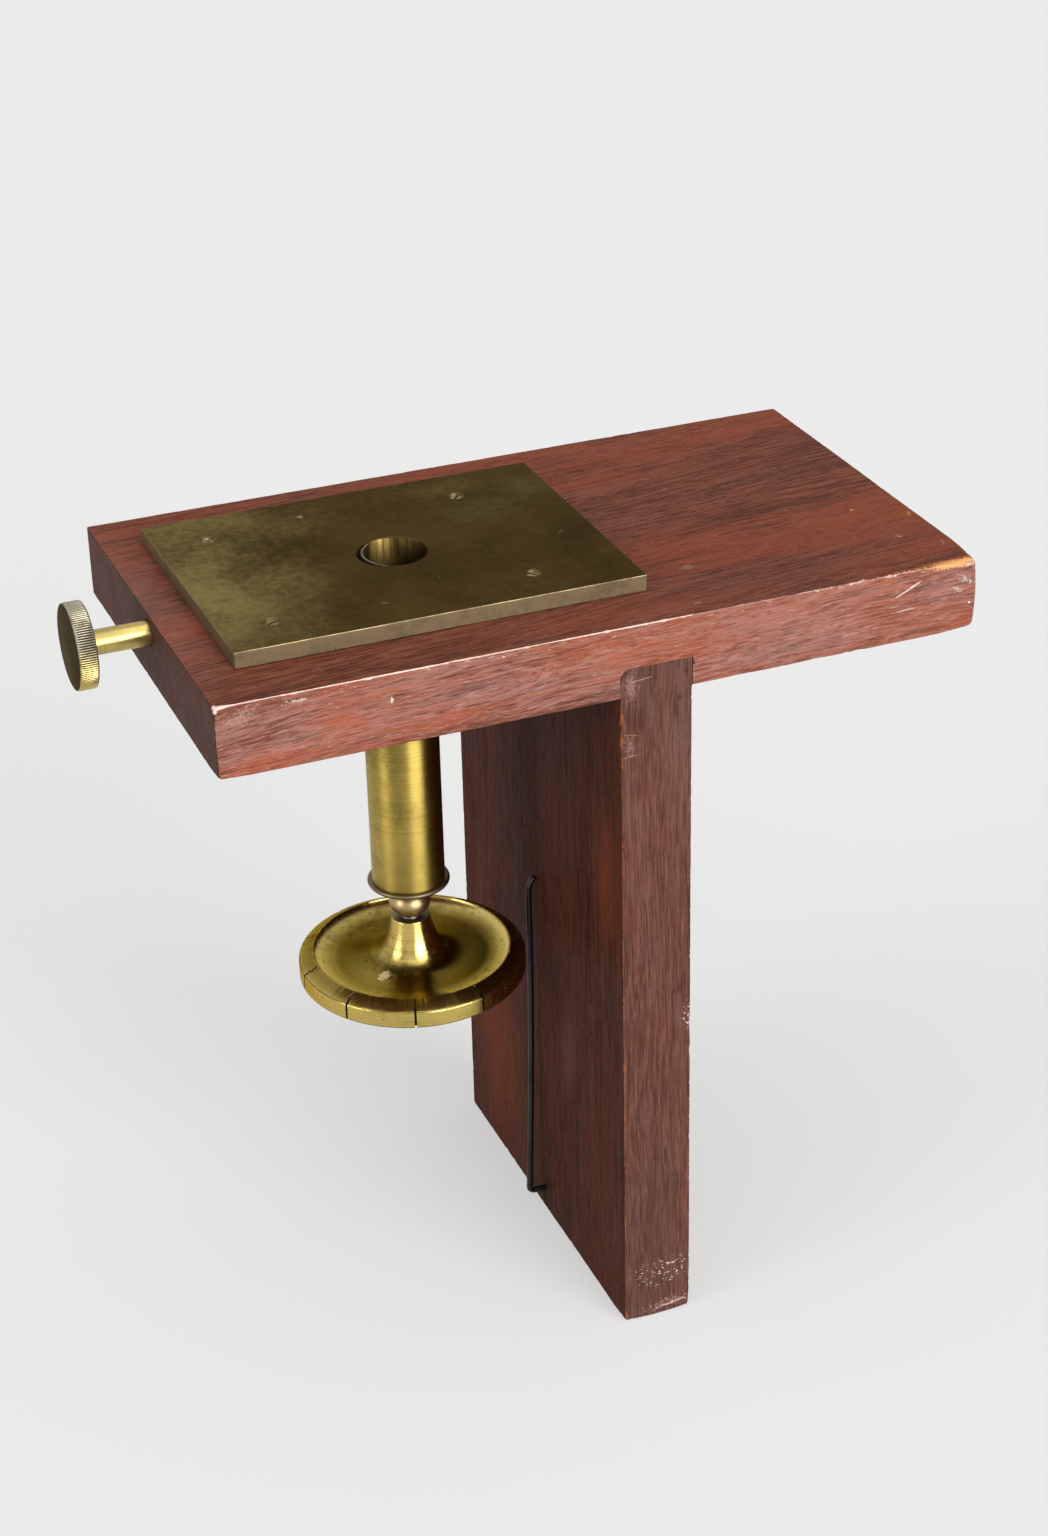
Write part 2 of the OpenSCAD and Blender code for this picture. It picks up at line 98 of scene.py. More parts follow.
class Link:
    # An output socket, whose sums and products add Math nodes of their own

    def __init__(self, finish, socket):
        self.finish = finish
        self.socket = socket

    def __add__(self, other):
        return self.finish.sum("ADD", self, other)

    def __radd__(self, other):
        return self.finish.sum("ADD", other, self)

    def __sub__(self, other):
        return self.finish.sum("SUBTRACT", self, other)

    def __mul__(self, other):
        return self.finish.sum("MULTIPLY", self, other)

    def __rmul__(self, other):
        return self.finish.sum("MULTIPLY", other, self)

    def __truediv__(self, other):
        return self.finish.sum("DIVIDE", self, other)


class Finish:
    # A Principled material, or the world, that is built node by node

    def __init__(self, name, world=None, **fixed):
        self.material = world or bpy.data.materials.new(name)
        self.material.use_nodes = True
        self.tree = self.material.node_tree
        self.shader = self.tree.nodes["Background" if world else "Principled BSDF"]
        for socket, value in fixed.items():
            self.shader.inputs[socket.replace("_", " ")].default_value = value
        self.here = self.node("TexCoord", out="Object")

    def node(self, kind, inputs=None, out=0, stops=None, **settings):
        made = self.tree.nodes.new("ShaderNode" + kind)
        for key, value in settings.items():
            setattr(made, key, value)
        if stops:
            ramp = made.color_ramp.elements
            while len(ramp) < len(stops):
                ramp.new(1.0)
            for element, (place, colour) in zip(ramp, stops):
                element.position = place
                element.color = (*colour, 1)
        for key, value in (inputs or {}).items():
            self.feed(made.inputs[key], value)
        return Link(self, made.outputs[out])

    def feed(self, socket, value):
        if isinstance(value, Link):
            self.tree.links.new(value.socket, socket)
        elif socket.type == "RGBA" and len(value) == 3:
            socket.default_value = (*value, 1)
        else:
            socket.default_value = value

    def sum(self, operation, *values):
        return self.node("Math", dict(enumerate(values)), operation=operation)

    def stretched(self, scale, turn=(0, 0, 0), shift=(0, 0, 0), source=None):
        inputs = {"Vector": source or self.here, "Scale": scale, "Rotation": turn, "Location": shift}
        return self.node("Mapping", inputs)

    def cloud(self, vector, scale=1.0, detail=3.0, rough=0.5, bend=0.0, out=0):
        inputs = {"Vector": vector, "Scale": scale, "Detail": detail, "Roughness": rough, "Distortion": bend}
        return self.node("TexNoise", inputs, out=out)

    def rings(self, along, detail, rough):
        # A cloud that changes along one line only, for the marks of the lathe
        return self.cloud(self.node("CombineXYZ", {"X": along}), 1.0, detail, rough)

    def between(self, value, low, high, start=0.0, end=1.0):
        inputs = {"Value": value, "From Min": low, "From Max": high, "To Min": start, "To Max": end}
        return self.node("MapRange", inputs, interpolation_type="SMOOTHSTEP")

    def blend(self, share, first, second, way="MIX"):
        inputs = {0: share, 6: first, 7: second}
        return self.node("Mix", inputs, out=2, data_type="RGBA", blend_type=way)

    def ramp(self, value, *stops):
        return self.node("ValToRGB", {"Fac": value}, stops=stops)

    def moved(self, vector, push, amount):
        # Shifts coordinates by a coloured cloud, for lines that wander
        inputs = {0: push, 1: (amount, amount, amount), 2: vector}
        return self.node("VectorMath", inputs, operation="MULTIPLY_ADD")

    def zone(self, centre, size, turn=(0, 0, 0)):
        # Distance from a place on the piece, in millimetres and degrees, as a share of the zone's size
        inputs = {
            "Vector": self.here, "Location": [c * mm for c in centre],
            "Rotation": [radians(t) for t in turn], "Scale": [s * mm for s in size],
        }
        local = self.node("Mapping", inputs, vector_type="TEXTURE")
        return self.node("VectorMath", {0: local}, out="Value", operation="LENGTH")

    def mark(self, breakUp, centre, size, turn=(0, 0, 0), ragged=2.0, cover=0.5, core=0.6):
        # A ragged patch, where cover says how much of it shows and core where it starts to fade
        away = self.zone(centre, size, turn)
        return self.between(away + ragged * (breakUp - cover), 1.0, core)

    def specks(self, centre, size, spacing, cover):
        # Ragged flecks inside a zone, spaced in millimetres, where a higher cover shows more of them
        inside = self.between(self.zone(centre, size), 1.0, 0.6)
        dots = self.cloud(self.stretched([1 / (s * mm) for s in spacing]), detail=3, rough=0.7)
        return inside * self.between(dots, 0.70 - cover, 0.73 - cover)

    def parts(self, vector=None):
        split = self.node("SeparateXYZ", {"Vector": vector or self.here})
        node = split.socket.node
        return [Link(self, socket) for socket in node.outputs]

    def seen(self):
        # 1 for the rays that see the backdrop straight, in metal or through glass, and 0 for its light
        path = self.node("LightPath").socket.node.outputs
        rays = [Link(self, path[kind]) for kind in ("Is Camera Ray", "Is Glossy Ray", "Is Transmission Ray")]
        return self.sum("MAXIMUM", rays[0], self.sum("MAXIMUM", rays[1], rays[2]))

    def paint(self, colour=None, roughness=None, heights=(), **others):
        if colour is not None:
            self.feed(self.shader.inputs["Base Color"], colour)
        if roughness is not None:
            self.feed(self.shader.inputs["Roughness"], roughness)
        for socket, value in others.items():
            self.feed(self.shader.inputs[socket.replace("_", " ")], value)
        normal = None
        for height, depth in heights:
            inputs = {"Height": height, "Distance": depth, "Strength": 1.0}
            if normal:
                inputs["Normal"] = normal
            normal = self.node("Bump", inputs)
        if normal:
            self.feed(self.shader.inputs["Normal"], normal)
        return self.material


def marksOn(axis, level, depth, rows):
    # Sets flat rows of shade, strength, place, size, turn and raggedness on a face across the axis
    marks = []
    for shade, strength, place, size, turn, *ragged in rows:
        centre = (*place[:axis], level, *place[axis:])
        reach = (*size[:axis], depth, *size[axis:])
        angles = [turn if i == axis else 0 for i in range(3)]
        marks.append((shade, strength, (centre, reach, angles, *ragged)))
    return marks


backdrop = {
    "light": (0.29, 0.29, 0.29), "seen": (0.82, 0.82, 0.82), "floorReach": 30.0, "floorGap": 0.0002,
    "white": ((0.80, 0.80, 0.79), (0.77, 0.77, 0.76)), "shaded": ((0.35, 0.35, 0.345), (0.33, 0.33, 0.325)),
    "glow": (0.47, 0.47, 0.465),
}
world = bpy.data.worlds.new("studio")
bpy.context.scene.world = world
sky = Finish("studio", world, Strength=1.0)
sky.feed(sky.shader.inputs["Color"], sky.blend(sky.seen(), backdrop["light"], backdrop["seen"]))
print("world set")

mahogany = {
    "pore": (0.045, 0.014, 0.009),
    "dark": (0.095, 0.026, 0.014),
    "mid": (0.175, 0.046, 0.023),
    "light": (0.265, 0.082, 0.045),
    "orange": (0.335, 0.072, 0.028),
    "plum": (0.120, 0.055, 0.045),
    # pale haze colour: a real film and scuffs, and also a painted sheen on front faces and painted glints
    "haze": (0.360, 0.210, 0.180),
    # rubbed edge colour: partly bare wood, partly a painted highlight on rounded edges
    "edge": (0.800, 0.590, 0.510),
    "rust": (0.380, 0.125, 0.050),
    "bare": (0.640, 0.310, 0.110),
    "white": (0.780, 0.680, 0.600),
    "soot": (0.030, 0.014, 0.012),
}


def woodFinish(
    name, turn, tint=1.0, haze=0.2, glow=0.3, plum=0.3, paintedGlints=0.3, edge="edge", polish=0.0, seed=0.0,
    rough=0.48, shine=0.25, fine=1.0, wave=0.008, deep=1.0, pore=0.62, marks=(), specks=(),
):
    # Solid mahogany: wavy fibres, soft bands, open pores, a thin hazy film that is partly a painted sheen,
    # flecks that are painted glints, worn edges whose pale colour is partly a painted highlight, and single
    # marks
    wood = Finish(name, IOR=1.45, Specular_IOR_Level=shine)

    def streaks(source, along, across, detail=3, roughness=0.6, shift=(0, 0, 0)):
        # A cloud with so many waves to the metre along the grain and across it
        local = wood.stretched((along, across, across), shift=shift, source=source)
        return wood.cloud(local, detail=detail, rough=roughness)

    straight = wood.stretched((1, 1, 1), [radians(a) for a in turn], (seed, 0.37 * seed, 0.11 * seed))
    sway = wood.cloud(wood.stretched((14, 36, 36), source=straight), detail=2, out="Color")
    grain = wood.moved(straight, sway, wave)
    fibre = streaks(grain, 105, 1700 * fine)
    line = streaks(grain, 38, 700 * fine)
    band = streaks(grain, 10, 130)
    patch = streaks(grain, 7, 34, shift=(1, 5, 2))
    drift = streaks(grain, 9, 60, 4, 0.65, (3, 1, 2))
    tone = deep * (0.50 * fibre + 0.32 * line + 0.18 * band - 0.5) + 0.5
    colour = wood.ramp(tone, (0.41, mahogany["dark"]), (0.50, mahogany["mid"]), (0.585, mahogany["light"]))
    redder = wood.blend(0.75, colour, mahogany["orange"])
    colour = wood.blend(glow * wood.between(0.7 * patch + 0.3 * line, 0.45, 0.60), colour, redder)
    greyer = wood.blend(0.75, colour, mahogany["plum"])
    colour = wood.blend(plum * wood.between(0.6 * drift + 0.4 * line, 0.48, 0.64), colour, greyer)
    # A thin hazy film, heaviest on the front faces, whose pale colour is partly a painted sheen
    veil = streaks(straight, 20, 80, 5, 0.7, (2, 2, 7))
    filmAndSheen = wood.between(0.5 * veil + 0.5 * fibre, 0.42, 0.60)
    colour = wood.blend(haze * filmAndSheen, colour, mahogany["haze"])
    pores = wood.between(streaks(grain, 230, 1900 * fine, 2), 0.57, 0.67)
    colour = wood.blend(pore * pores, colour, mahogany["pore"])
    # Painted glints: fine flecks of the pale haze colour along the grain
    glint = streaks(grain, 280, 2300, 2, shift=(4, 4, 4))
    colour = wood.blend(paintedGlints * wood.between(glint, 0.59, 0.70), colour, mahogany["haze"])
    colour = wood.blend(1.0, colour, (tint, tint, tint), "MULTIPLY")
    # Worn edges, whose pale edge colour is partly wear and partly a painted highlight
    wearAndSheen = wood.node("Attribute", out="Fac", attribute_name="wearAndSheen")
    chipping = streaks(straight, 260, 900, 5, 0.75)
    rubbedAndSheen = wood.between(wearAndSheen + 1.6 * (chipping - 0.5), 0.45, 1.05)
    colour = wood.blend(0.85 * rubbedAndSheen, colour, mahogany[edge])
    grime = wood.cloud(wood.here, 1500, 5, 0.75)
    for shade, strength, place in marks:
        colour = wood.blend(strength * wood.mark(grime, *place), colour, mahogany[shade])
    for shade, strength, place in specks:
        colour = wood.blend(strength * wood.specks(*place), colour, mahogany[shade])
    roughness = rough + 0.14 * filmAndSheen + 0.14 * pores - 0.10 * (fibre - 0.5)
    roughness = roughness - polish * wood.between(wearAndSheen, 0.1, 0.7)
    heights = [(0.4 * line + 0.6 * fibre - 0.7 * pores, 0.00006), (wood.cloud(wood.here, 45, 3), 0.0002)]
    return wood.paint(colour, roughness, heights)


def brassFinish(
    name, colour, dark, axis=None, centre=(0, 0, 0), rough=0.25, mottle=0.5, size=60, lines=0.4,
    drag=0.0, pits=0.0, slant=(1, 1, 1), zones=(), marks=(),
):
    # Brass, turned round an axis or drawn flat, under an uneven patina
    brass = Finish(name, Metallic=1.0, Anisotropic=drag, Anisotropic_Rotation=0.25, Specular_Tint=(*slant, 1))
    local = brass.stretched((1, 1, 1), shift=[-c for c in centre])
    clouds = brass.cloud(local, size, 6, 0.6)
    grime = brass.cloud(local, 420, 5, 0.7)
    tint = brass.between(0.7 * clouds + 0.3 * grime, 0.38, 0.66)
    for patina, strength, place in zones:
        soft = brass.between(brass.zone(*place) + 0.9 * (clouds - 0.5) + 0.6 * (grime - 0.5), 1.0, 0.0)
        colour = brass.blend(strength * soft, colour, patina)
    shade = brass.blend(mottle * tint, colour, dark)
    specks = brass.between(brass.cloud(local, 1300, 2), 0.66, 0.72) * brass.between(clouds, 0.46, 0.58)
    shade = brass.blend(pits * specks, shade, [0.3 * d for d in dark])
    heights = [(grime, 0.00001), (specks, -0.00003)]
    roughness = rough + 0.16 * tint
    if axis:
        along = brass.parts(local)["XYZ".index(axis)]
        rings = 0.5 * brass.rings(along * 900, 4, 0.7) + 0.5 * brass.rings(along * 7000, 2, 0.6)
        heights.append((rings, lines * 0.00002))
        roughness = roughness + 0.16 * (rings - 0.5)
        shade = brass.blend(0.5 * lines * brass.between(rings, 0.45, 0.65), shade, dark)
    for patina, strength, place in marks:
        shade = brass.blend(strength * brass.mark(grime, *place), shade, patina)
    return brass.paint(shade, roughness, heights)


# Mesh helpers

def asPiece(name, bm, finish, body, replaces=(), sharp=32, weigh=False):
    mesh = bpy.data.meshes.new(name)
    bm.to_mesh(mesh)
    bm.free()
    piece = addObject(name, mesh)
    for material in finish if isinstance(finish, (list, tuple)) else [finish]:
        mesh.materials.append(material)
    mesh.shade_smooth()
    mesh.set_sharp_from_angle(angle=radians(sharp))
    if weigh:
        weights = piece.modifiers.new("flatNormals", "WEIGHTED_NORMAL")
        weights.keep_sharp = True
    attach(piece, body)
    if replaces:
        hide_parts(*replaces)
    return piece


def spun(outline, steps, closed):
    # Spins an outline of [radius, height] in millimetres round the Z axis
    bm = bmesh.new()
    points = [bm.verts.new((r * mm, 0, z * mm)) for r, z in outline]
    edges = [bm.edges.new(pair) for pair in zip(points, points[1:])]
    if closed:
        edges.append(bm.edges.new((points[-1], points[0])))
    bmesh.ops.spin(
        bm, geom=points + edges, cent=(0, 0, 0), axis=(0, 0, 1), angle=tau, steps=steps, use_merge=True,
    )
    bmesh.ops.remove_doubles(bm, verts=bm.verts[:], dist=1e-7)
    return bm


def lathe(outline, steps=160):
    # A turned solid, whose outline closes on itself unless it starts on the axis
    bm = spun(outline, steps, closed=outline[0][0] > 0)
    bmesh.ops.recalc_face_normals(bm, faces=bm.faces[:])
    return bm


def arc(centre, radii, angles):
    # The round stretch of an outline, from angles in degrees
    return [
        [centre[0] + radii[0] * cos(radians(a)), centre[1] + radii[1] * sin(radians(a))]
        for a in angles
    ]


def closeHoles(bm):
    bmesh.ops.holes_fill(bm, edges=[e for e in bm.edges if e.is_boundary], sides=0)
    bmesh.ops.recalc_face_normals(bm, faces=bm.faces[:])


def roundOff(bm, size, segments=3, least=40, choose=None):
    # Rounds the edges that turn by more than the least angle
    edges = [e for e in bm.edges if len(e.link_faces) == 2 and e.calc_face_angle(0) > radians(least)]
    if choose:
        edges = [e for e in edges if choose(e)]
    bmesh.ops.bevel(
        bm, geom=edges, offset=size * mm, offset_type="OFFSET", segments=segments,
        profile=0.5, affect="EDGES", material=-1, clamp_overlap=True,
    )
    return bm


def slab(low, high):
    bm = bmesh.new()
    bmesh.ops.create_cube(bm, size=1.0)
    low, high = Vector(low) * mm, Vector(high) * mm
    bmesh.ops.scale(bm, vec=high - low, verts=bm.verts[:])
    bmesh.ops.translate(bm, vec=(low + high) / 2, verts=bm.verts[:])
    return bm


def carve(bm, cutters, keep="DIFFERENCE"):
    # Cuts a mesh with others and gives back the result as a new bmesh
    def shell(name, source):
        mesh = bpy.data.meshes.new(name)
        source.to_mesh(mesh)
        source.free()
        return addObject(name, mesh)

    blank = shell("blank", bm)
    tools = [shell("cutter", cutter) for cutter in cutters]
    for tool in tools:
        step = blank.modifiers.new("cut", "BOOLEAN")
        step.operation = keep
        step.solver = "EXACT"
        step.object = tool
    bpy.context.view_layer.update()
    result = blank.evaluated_get(bpy.context.evaluated_depsgraph_get()).to_mesh()
    cutMesh = bmesh.new()
    cutMesh.from_mesh(result)
    for made in [blank, *tools]:
        mesh = made.data
        bpy.data.objects.remove(made)
        bpy.data.meshes.remove(mesh)
    return cutMesh


def lay(bm, turn=None, place=(0, 0, 0)):
    # Turns a mesh from the Z axis and sets it at its place in millimetres
    if turn:
        bmesh.ops.transform(bm, matrix=turn, verts=bm.verts[:])
    bmesh.ops.translate(bm, vec=Vector(place) * mm, verts=bm.verts[:])
    return bm


def join(pieces):
    whole = bmesh.new()
    for bm in pieces:
        mesh = bpy.data.meshes.new("part")
        bm.to_mesh(mesh)
        bm.free()
        whole.from_mesh(mesh)
        bpy.data.meshes.remove(mesh)
    return whole


def millimetres(node):
    low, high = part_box(node)
    return low / mm, high / mm


def cylinder(radius, low, high, steps=96):
    return lathe([[0, low], [radius, low], [radius, high], [0, high]], steps)


def spin(angle, axis):
    return Matrix.Rotation(radians(angle), 4, axis)


toX = spin(90, "Y")
over = 1.0  # how far a cutter stands past what it cuts


# Boards

def easedBlock(low, high, ease, pitch, wearAt):
    # A block whose eased edges are cut fine along their length and worn back unevenly
    bm = slab(low, high)
    bmesh.ops.bevel(
        bm, geom=bm.edges[:], offset=ease * mm, offset_type="OFFSET", segments=4,
        profile=0.5, affect="EDGES", material=-1,
    )
    flats = sorted(bm.faces, key=lambda f: -f.calc_area())[:6]
    bmesh.ops.delete(bm, geom=flats, context="FACES_ONLY")
    for axis in range(3):
        runs = [e for e in bm.edges if abs((e.verts[0].co - e.verts[1].co)[axis]) > 3 * ease * mm]
        length = max(e.calc_length() for e in runs)
        bmesh.ops.subdivide_edges(bm, edges=runs, cuts=int(length / (pitch * mm)), use_grid_fill=False)
    closeHoles(bm)
    low, high = Vector(low), Vector(high)
    for vert in bm.verts:
        point = vert.co / mm
        gaps = [min(point[i] - low[i], high[i] - point[i]) for i in range(3)]
        signs = [1 if point[i] - low[i] < high[i] - point[i] else -1 for i in range(3)]
        corner = Vector([
            (low[i] if signs[i] > 0 else high[i]) if gaps[i] <= ease + 0.01 else point[i] for i in range(3)
        ])
        wear = wearAt(corner)
        for i in range(3):
            fade = exp(-max(0.0, gaps[i] - ease) / (2.5 * ease))
            point[i] += signs[i] * (wear - 1) * min(gaps[i], ease) * fade
        vert.co = point * mm
    return bm


def markWearAndSheen(piece, low, high, share, reach=0.10, deepest=2.5):
    # Stores how far each point lies inside the block's planes, where the finish wears through and, on the
    # board's edges, a painted highlight line is laid
    wearAndSheen = piece.data.attributes.new("wearAndSheen", "FLOAT", "POINT")
    for vert, value in zip(piece.data.vertices, wearAndSheen.data):
        point = vert.co / mm
        gaps = sorted(min(point[i] - low[i], high[i] - point[i]) for i in range(3))
        onEdge = gaps[1] < deepest and gaps[0] > -0.01
        value.value = share(point) * min(1.0, gaps[0] / reach) if onEdge else 0.0


def byNormal(bm, order):
    # Gives each face the finish of the axis that it faces most
    for face in bm.faces:
        face.material_index = order[max(range(3), key=lambda i: abs(face.normal[i]))]


board = {
    "ease": 0.6,
    "pitch": 0.6,
    "chips": [
        # x and z of a chip on a front edge, its length and how many times it widens the easing
        (137.7, -4.5, 8, 3.9), (137.7, -23.9, 8, 3.7), (-65.3, -23.9, 5, 2.3),
        (-65.3, -4.5, 4, 2.0), (112, -4.5, 2.0, 1.8), (101, -4.5, 1.5, 1.7),
        (92, -23.9, 2.5, 1.7), (70, -23.9, 3.0, 1.6), (104, -23.9, 1.5, 1.8),
    ],
    "tubeRoom": 0.3,
    "clampHole": 3.55,
    "clampDepth": 38,
    "housingRoom": 0.1,
}
leg = {
    "ease": 0.7,
    "pitch": 0.6,
    "chips": [
        (38.0, -30, 3, 1.8), (38.0, -36, 2, 2.0), (38.0, -42, 1.5, 1.7), (57.4, -125, 3, 1.7),
        (57.4, -133, 1.5, 1.8), (38.0, -218.1, 5, 2.0), (57.4, -218.1, 4, 1.8),
    ],
    "cornerRadius": 2.6,
    "cornerReach": 3.5,
    "housedEase": 0.25,
}
boardLow, boardHigh = millimetres("top_board")
legLow, legHigh = millimetres("leg")
tubeLow, tubeHigh = millimetres("tube")
clampAxis = (millimetres("clamp_head")[0].z + millimetres("clamp_head")[1].z) / 2


def chipWear(chips, base, spread):
    def wearAt(point):
        wavy = noise.noise(point * 0.03) * 0.25 + noise.noise(point * 0.21) * 0.22
        nick = max(0.0, noise.noise(point * 0.7 + Vector((7, 3, 1))) - 0.30) * spread
        local = sum(
            (size - 1) * exp(-((point - Vector((x, boardLow.y, z))).length / length) ** 2)
            for x, z, length, size in chips
        )
        return max(0.55, base + wavy + nick + local)
    return wearAt


boardWear = chipWear(board["chips"], 0.8, 1.6)
boardMesh = easedBlock(boardLow, boardHigh, board["ease"], board["pitch"], boardWear)
housing = slab(
    (legLow.x - board["housingRoom"], boardLow.y - over, boardLow.z - over),
    (legHigh.x + board["housingRoom"], boardHigh.y + over, legHigh.z),
)
roundOff(housing, leg["cornerRadius"], segments=10, choose=lambda edge: all(
    abs(v.co.x / mm - legLow.x) < 1 and abs(v.co.z / mm - legHigh.z) < 1 for v in edge.verts
))
boardHole = cylinder(tubeHigh.x + board["tubeRoom"], boardLow.z - over, boardHigh.z + over)
clampHole = cylinder(board["clampHole"], -over, board["clampDepth"])
lay(clampHole, toX, (boardLow.x, 0, clampAxis))
boardMesh = carve(boardMesh, [housing, boardHole, clampHole])
byNormal(boardMesh, {0: 2, 1: 1, 2: 0})
flat = (0, 0, 0)
boardMarks = {
    "top": marksOn(2, boardHigh.z, 2, [
        ("bare", 0.85, (123.4, -16.4), (1.7, 0.9), 10, 7.0, 0.42),
        ("bare", 0.8, (126.1, -36.6), (2.2, 1.5), 30, 6.0, 0.38),
        ("bare", 0.6, (135.5, -24.5), (1.6, 0.6), 60, 7.0, 0.42),
        ("bare", 0.6, (134.5, -45.0), (1.8, 0.7), 70, 7.0, 0.42),
        ("haze", 0.35, (68.1, -31.3), (2.4, 1.3), 0, 2.5),
        ("haze", 0.70, (61.2, -52.1), (1.6, 0.4), 5, 2.0),
        ("haze", 0.60, (84.0, 18.0), (0.5, 0.4), 0, 1.0),
        ("haze", 0.60, (111.0, 28.0), (0.45, 0.35), 0, 1.0),
    ]) + [
        ("bare", 0.95, ((131.5, -57.0, -4.7), (9.5, 1.9, 1.3), flat, 3.5)),
        ("bare", 0.80, ((119.0, -57.2, -4.7), (9.0, 1.0, 1.0), flat, 6.0, 0.42)),
        ("orange", 0.25, ((45.0, -50.0, -4.5), (60, 9, 3), flat, 1.5, 0.5, 0.1)),
        ("haze", 0.16, ((-64.0, 0.0, -4.5), (14, 70, 3), flat, 1.5, 0.5, 0.1)),
    ],
    "edge": marksOn(1, boardLow.y, 2, [
        ("orange", 0.50, (-34.7, -14.6), (8.0, 4.0), 12, 4.0, 0.5, 0.2),
        ("orange", 0.45, (-54.4, -20.4), (7.0, 3.0), 0, 4.0, 0.5, 0.2),
        ("orange", 0.35, (-6.0, -19.0), (9.0, 2.2), 0, 4.0, 0.5, 0.2),
        ("white", 0.70, (-21.4, -11.5), (0.5, 0.8), 0, 4.0),
        ("haze", 0.60, (-59.0, -8.0), (5.0, 2.0), -20, 6.0, 0.45),
        ("white", 0.40, (-45.0, -6.8), (4.0, 0.8), 0, 5.0, 0.42),
        ("haze", 0.50, (17.9, -13.5), (3.6, 3.0), 0, 7.0, 0.42),
        ("haze", 0.35, (13.0, -10.5), (5.0, 0.5), 14, 4.0),
        ("white", 0.60, (117.2, -9.7), (4.6, 0.28), -24, 2.0),
        ("white", 0.50, (119.5, -8.4), (2.4, 0.20), -20, 2.0),
        ("white", 0.40, (116.9, -15.0), (3.8, 0.22), -3, 2.5),
        ("white", 0.50, (134.0, -9.6), (3.6, 1.0), 28, 6.0, 0.42),
        ("white", 0.40, (132.0, -12.0), (2.8, 0.8), 20, 6.0, 0.42),
        ("haze", 0.22, (127.0, -12.5), (8.0, 4.5), 0, 3.0, 0.5, 0.2),
        ("white", 0.90, (135.5, -16.4), (0.4, 0.35), 0, 0.5),
        ("haze", 0.45, (101.3, -18.9), (4.6, 1.3), 0, 6.0, 0.42),
        ("bare", 0.90, (131.5, -5.0), (9.0, 1.1), 0, 3.5),
        ("soot", 0.85, (57.3, -17.4), (1.0, 1.3), 10, 2.5),
        ("soot", 0.35, (74.0, -17.0), (0.9, 2.0), 60, 3.0),
    ]),
}
boardSpecks = [
    # shade, strength, then centre, size, spacing and cover
    ("white", 0.90, ((104.0, -57.3, -4.7), (18.0, 1.0, 0.9), (1.3, 0.6, 0.6), 0.11)),
    ("white", 0.60, ((20.0, -57.3, -5.4), (90.0, 1.0, 1.6), (2.2, 0.7, 0.7), 0.05)),
    ("haze", 0.70, ((36.0, 0.0, -4.5), (150, 80, 3), (1.5, 1.1, 1.1), -0.04)),
]
# The board's front is painted lighter and its end darker than the top: partly painted light and shade, partly
# the end grain's own darker colour
boardFinishes = [
    woodFinish(
        "boardTop", (0, 0, -6), tint=0.76, haze=0.05, glow=0.80, plum=0.46, paintedGlints=0.36, polish=0.36,
        seed=0.2, shine=0.06, fine=1.3, deep=1.35, pore=0.50, marks=boardMarks["top"], specks=boardSpecks,
    ),
    woodFinish(
        "boardEdge", (0, 3, 0), tint=0.97, haze=0.38, glow=0.9, plum=0.40, paintedGlints=0.68, polish=0.36,
        seed=0.3, rough=0.5, fine=1.3, pore=0.52, marks=boardMarks["edge"], specks=boardSpecks[:2],
    ),
    woodFinish(
        "boardEnd", flat, tint=0.36, haze=0.15, glow=0.1, plum=0.8, paintedGlints=0.1, seed=0.6, rough=0.55,
        shine=0.12,
    ),
]
boardPiece = asPiece(
    "topBoard", boardMesh, boardFinishes, "table", ["top_board"], weigh=True,
)


def boardShare(point):
    # The top front edge is rubbed bright and carries a painted highlight line, less so at its right end, and
    # the other edges little
    if point.z > -6 and point.y < -56:
        return 1.35 if point.x < 57 else 0.75
    return 0.42


markWearAndSheen(boardPiece, boardLow, boardHigh, boardShare)
print("top board made")

legWear = chipWear(leg["chips"], 0.75, 2.2)
legCorner = Vector((legLow.x, legLow.y, legHigh.z))


def legEase(point):
    # The leg fits its housing tightly, apart from the rounded front corner
    tight = point.z > boardLow.z and (point - legCorner).length > leg["cornerReach"]
    return leg["housedEase"] if tight else legWear(point)


def roundCorner(bm, corner, radius):
    # Rounds the block's upper left edge, as seen from the front
    corner = Vector(corner) * mm
    size = radius * mm
    for vert in bm.verts:
        away = Vector((vert.co.x - corner.x - size, vert.co.z - corner.z + size))
        if away.x < 0 < away.y and away.length > size:
            away *= size / away.length
            vert.co.x = corner.x + size + away.x
            vert.co.z = corner.z - size + away.y


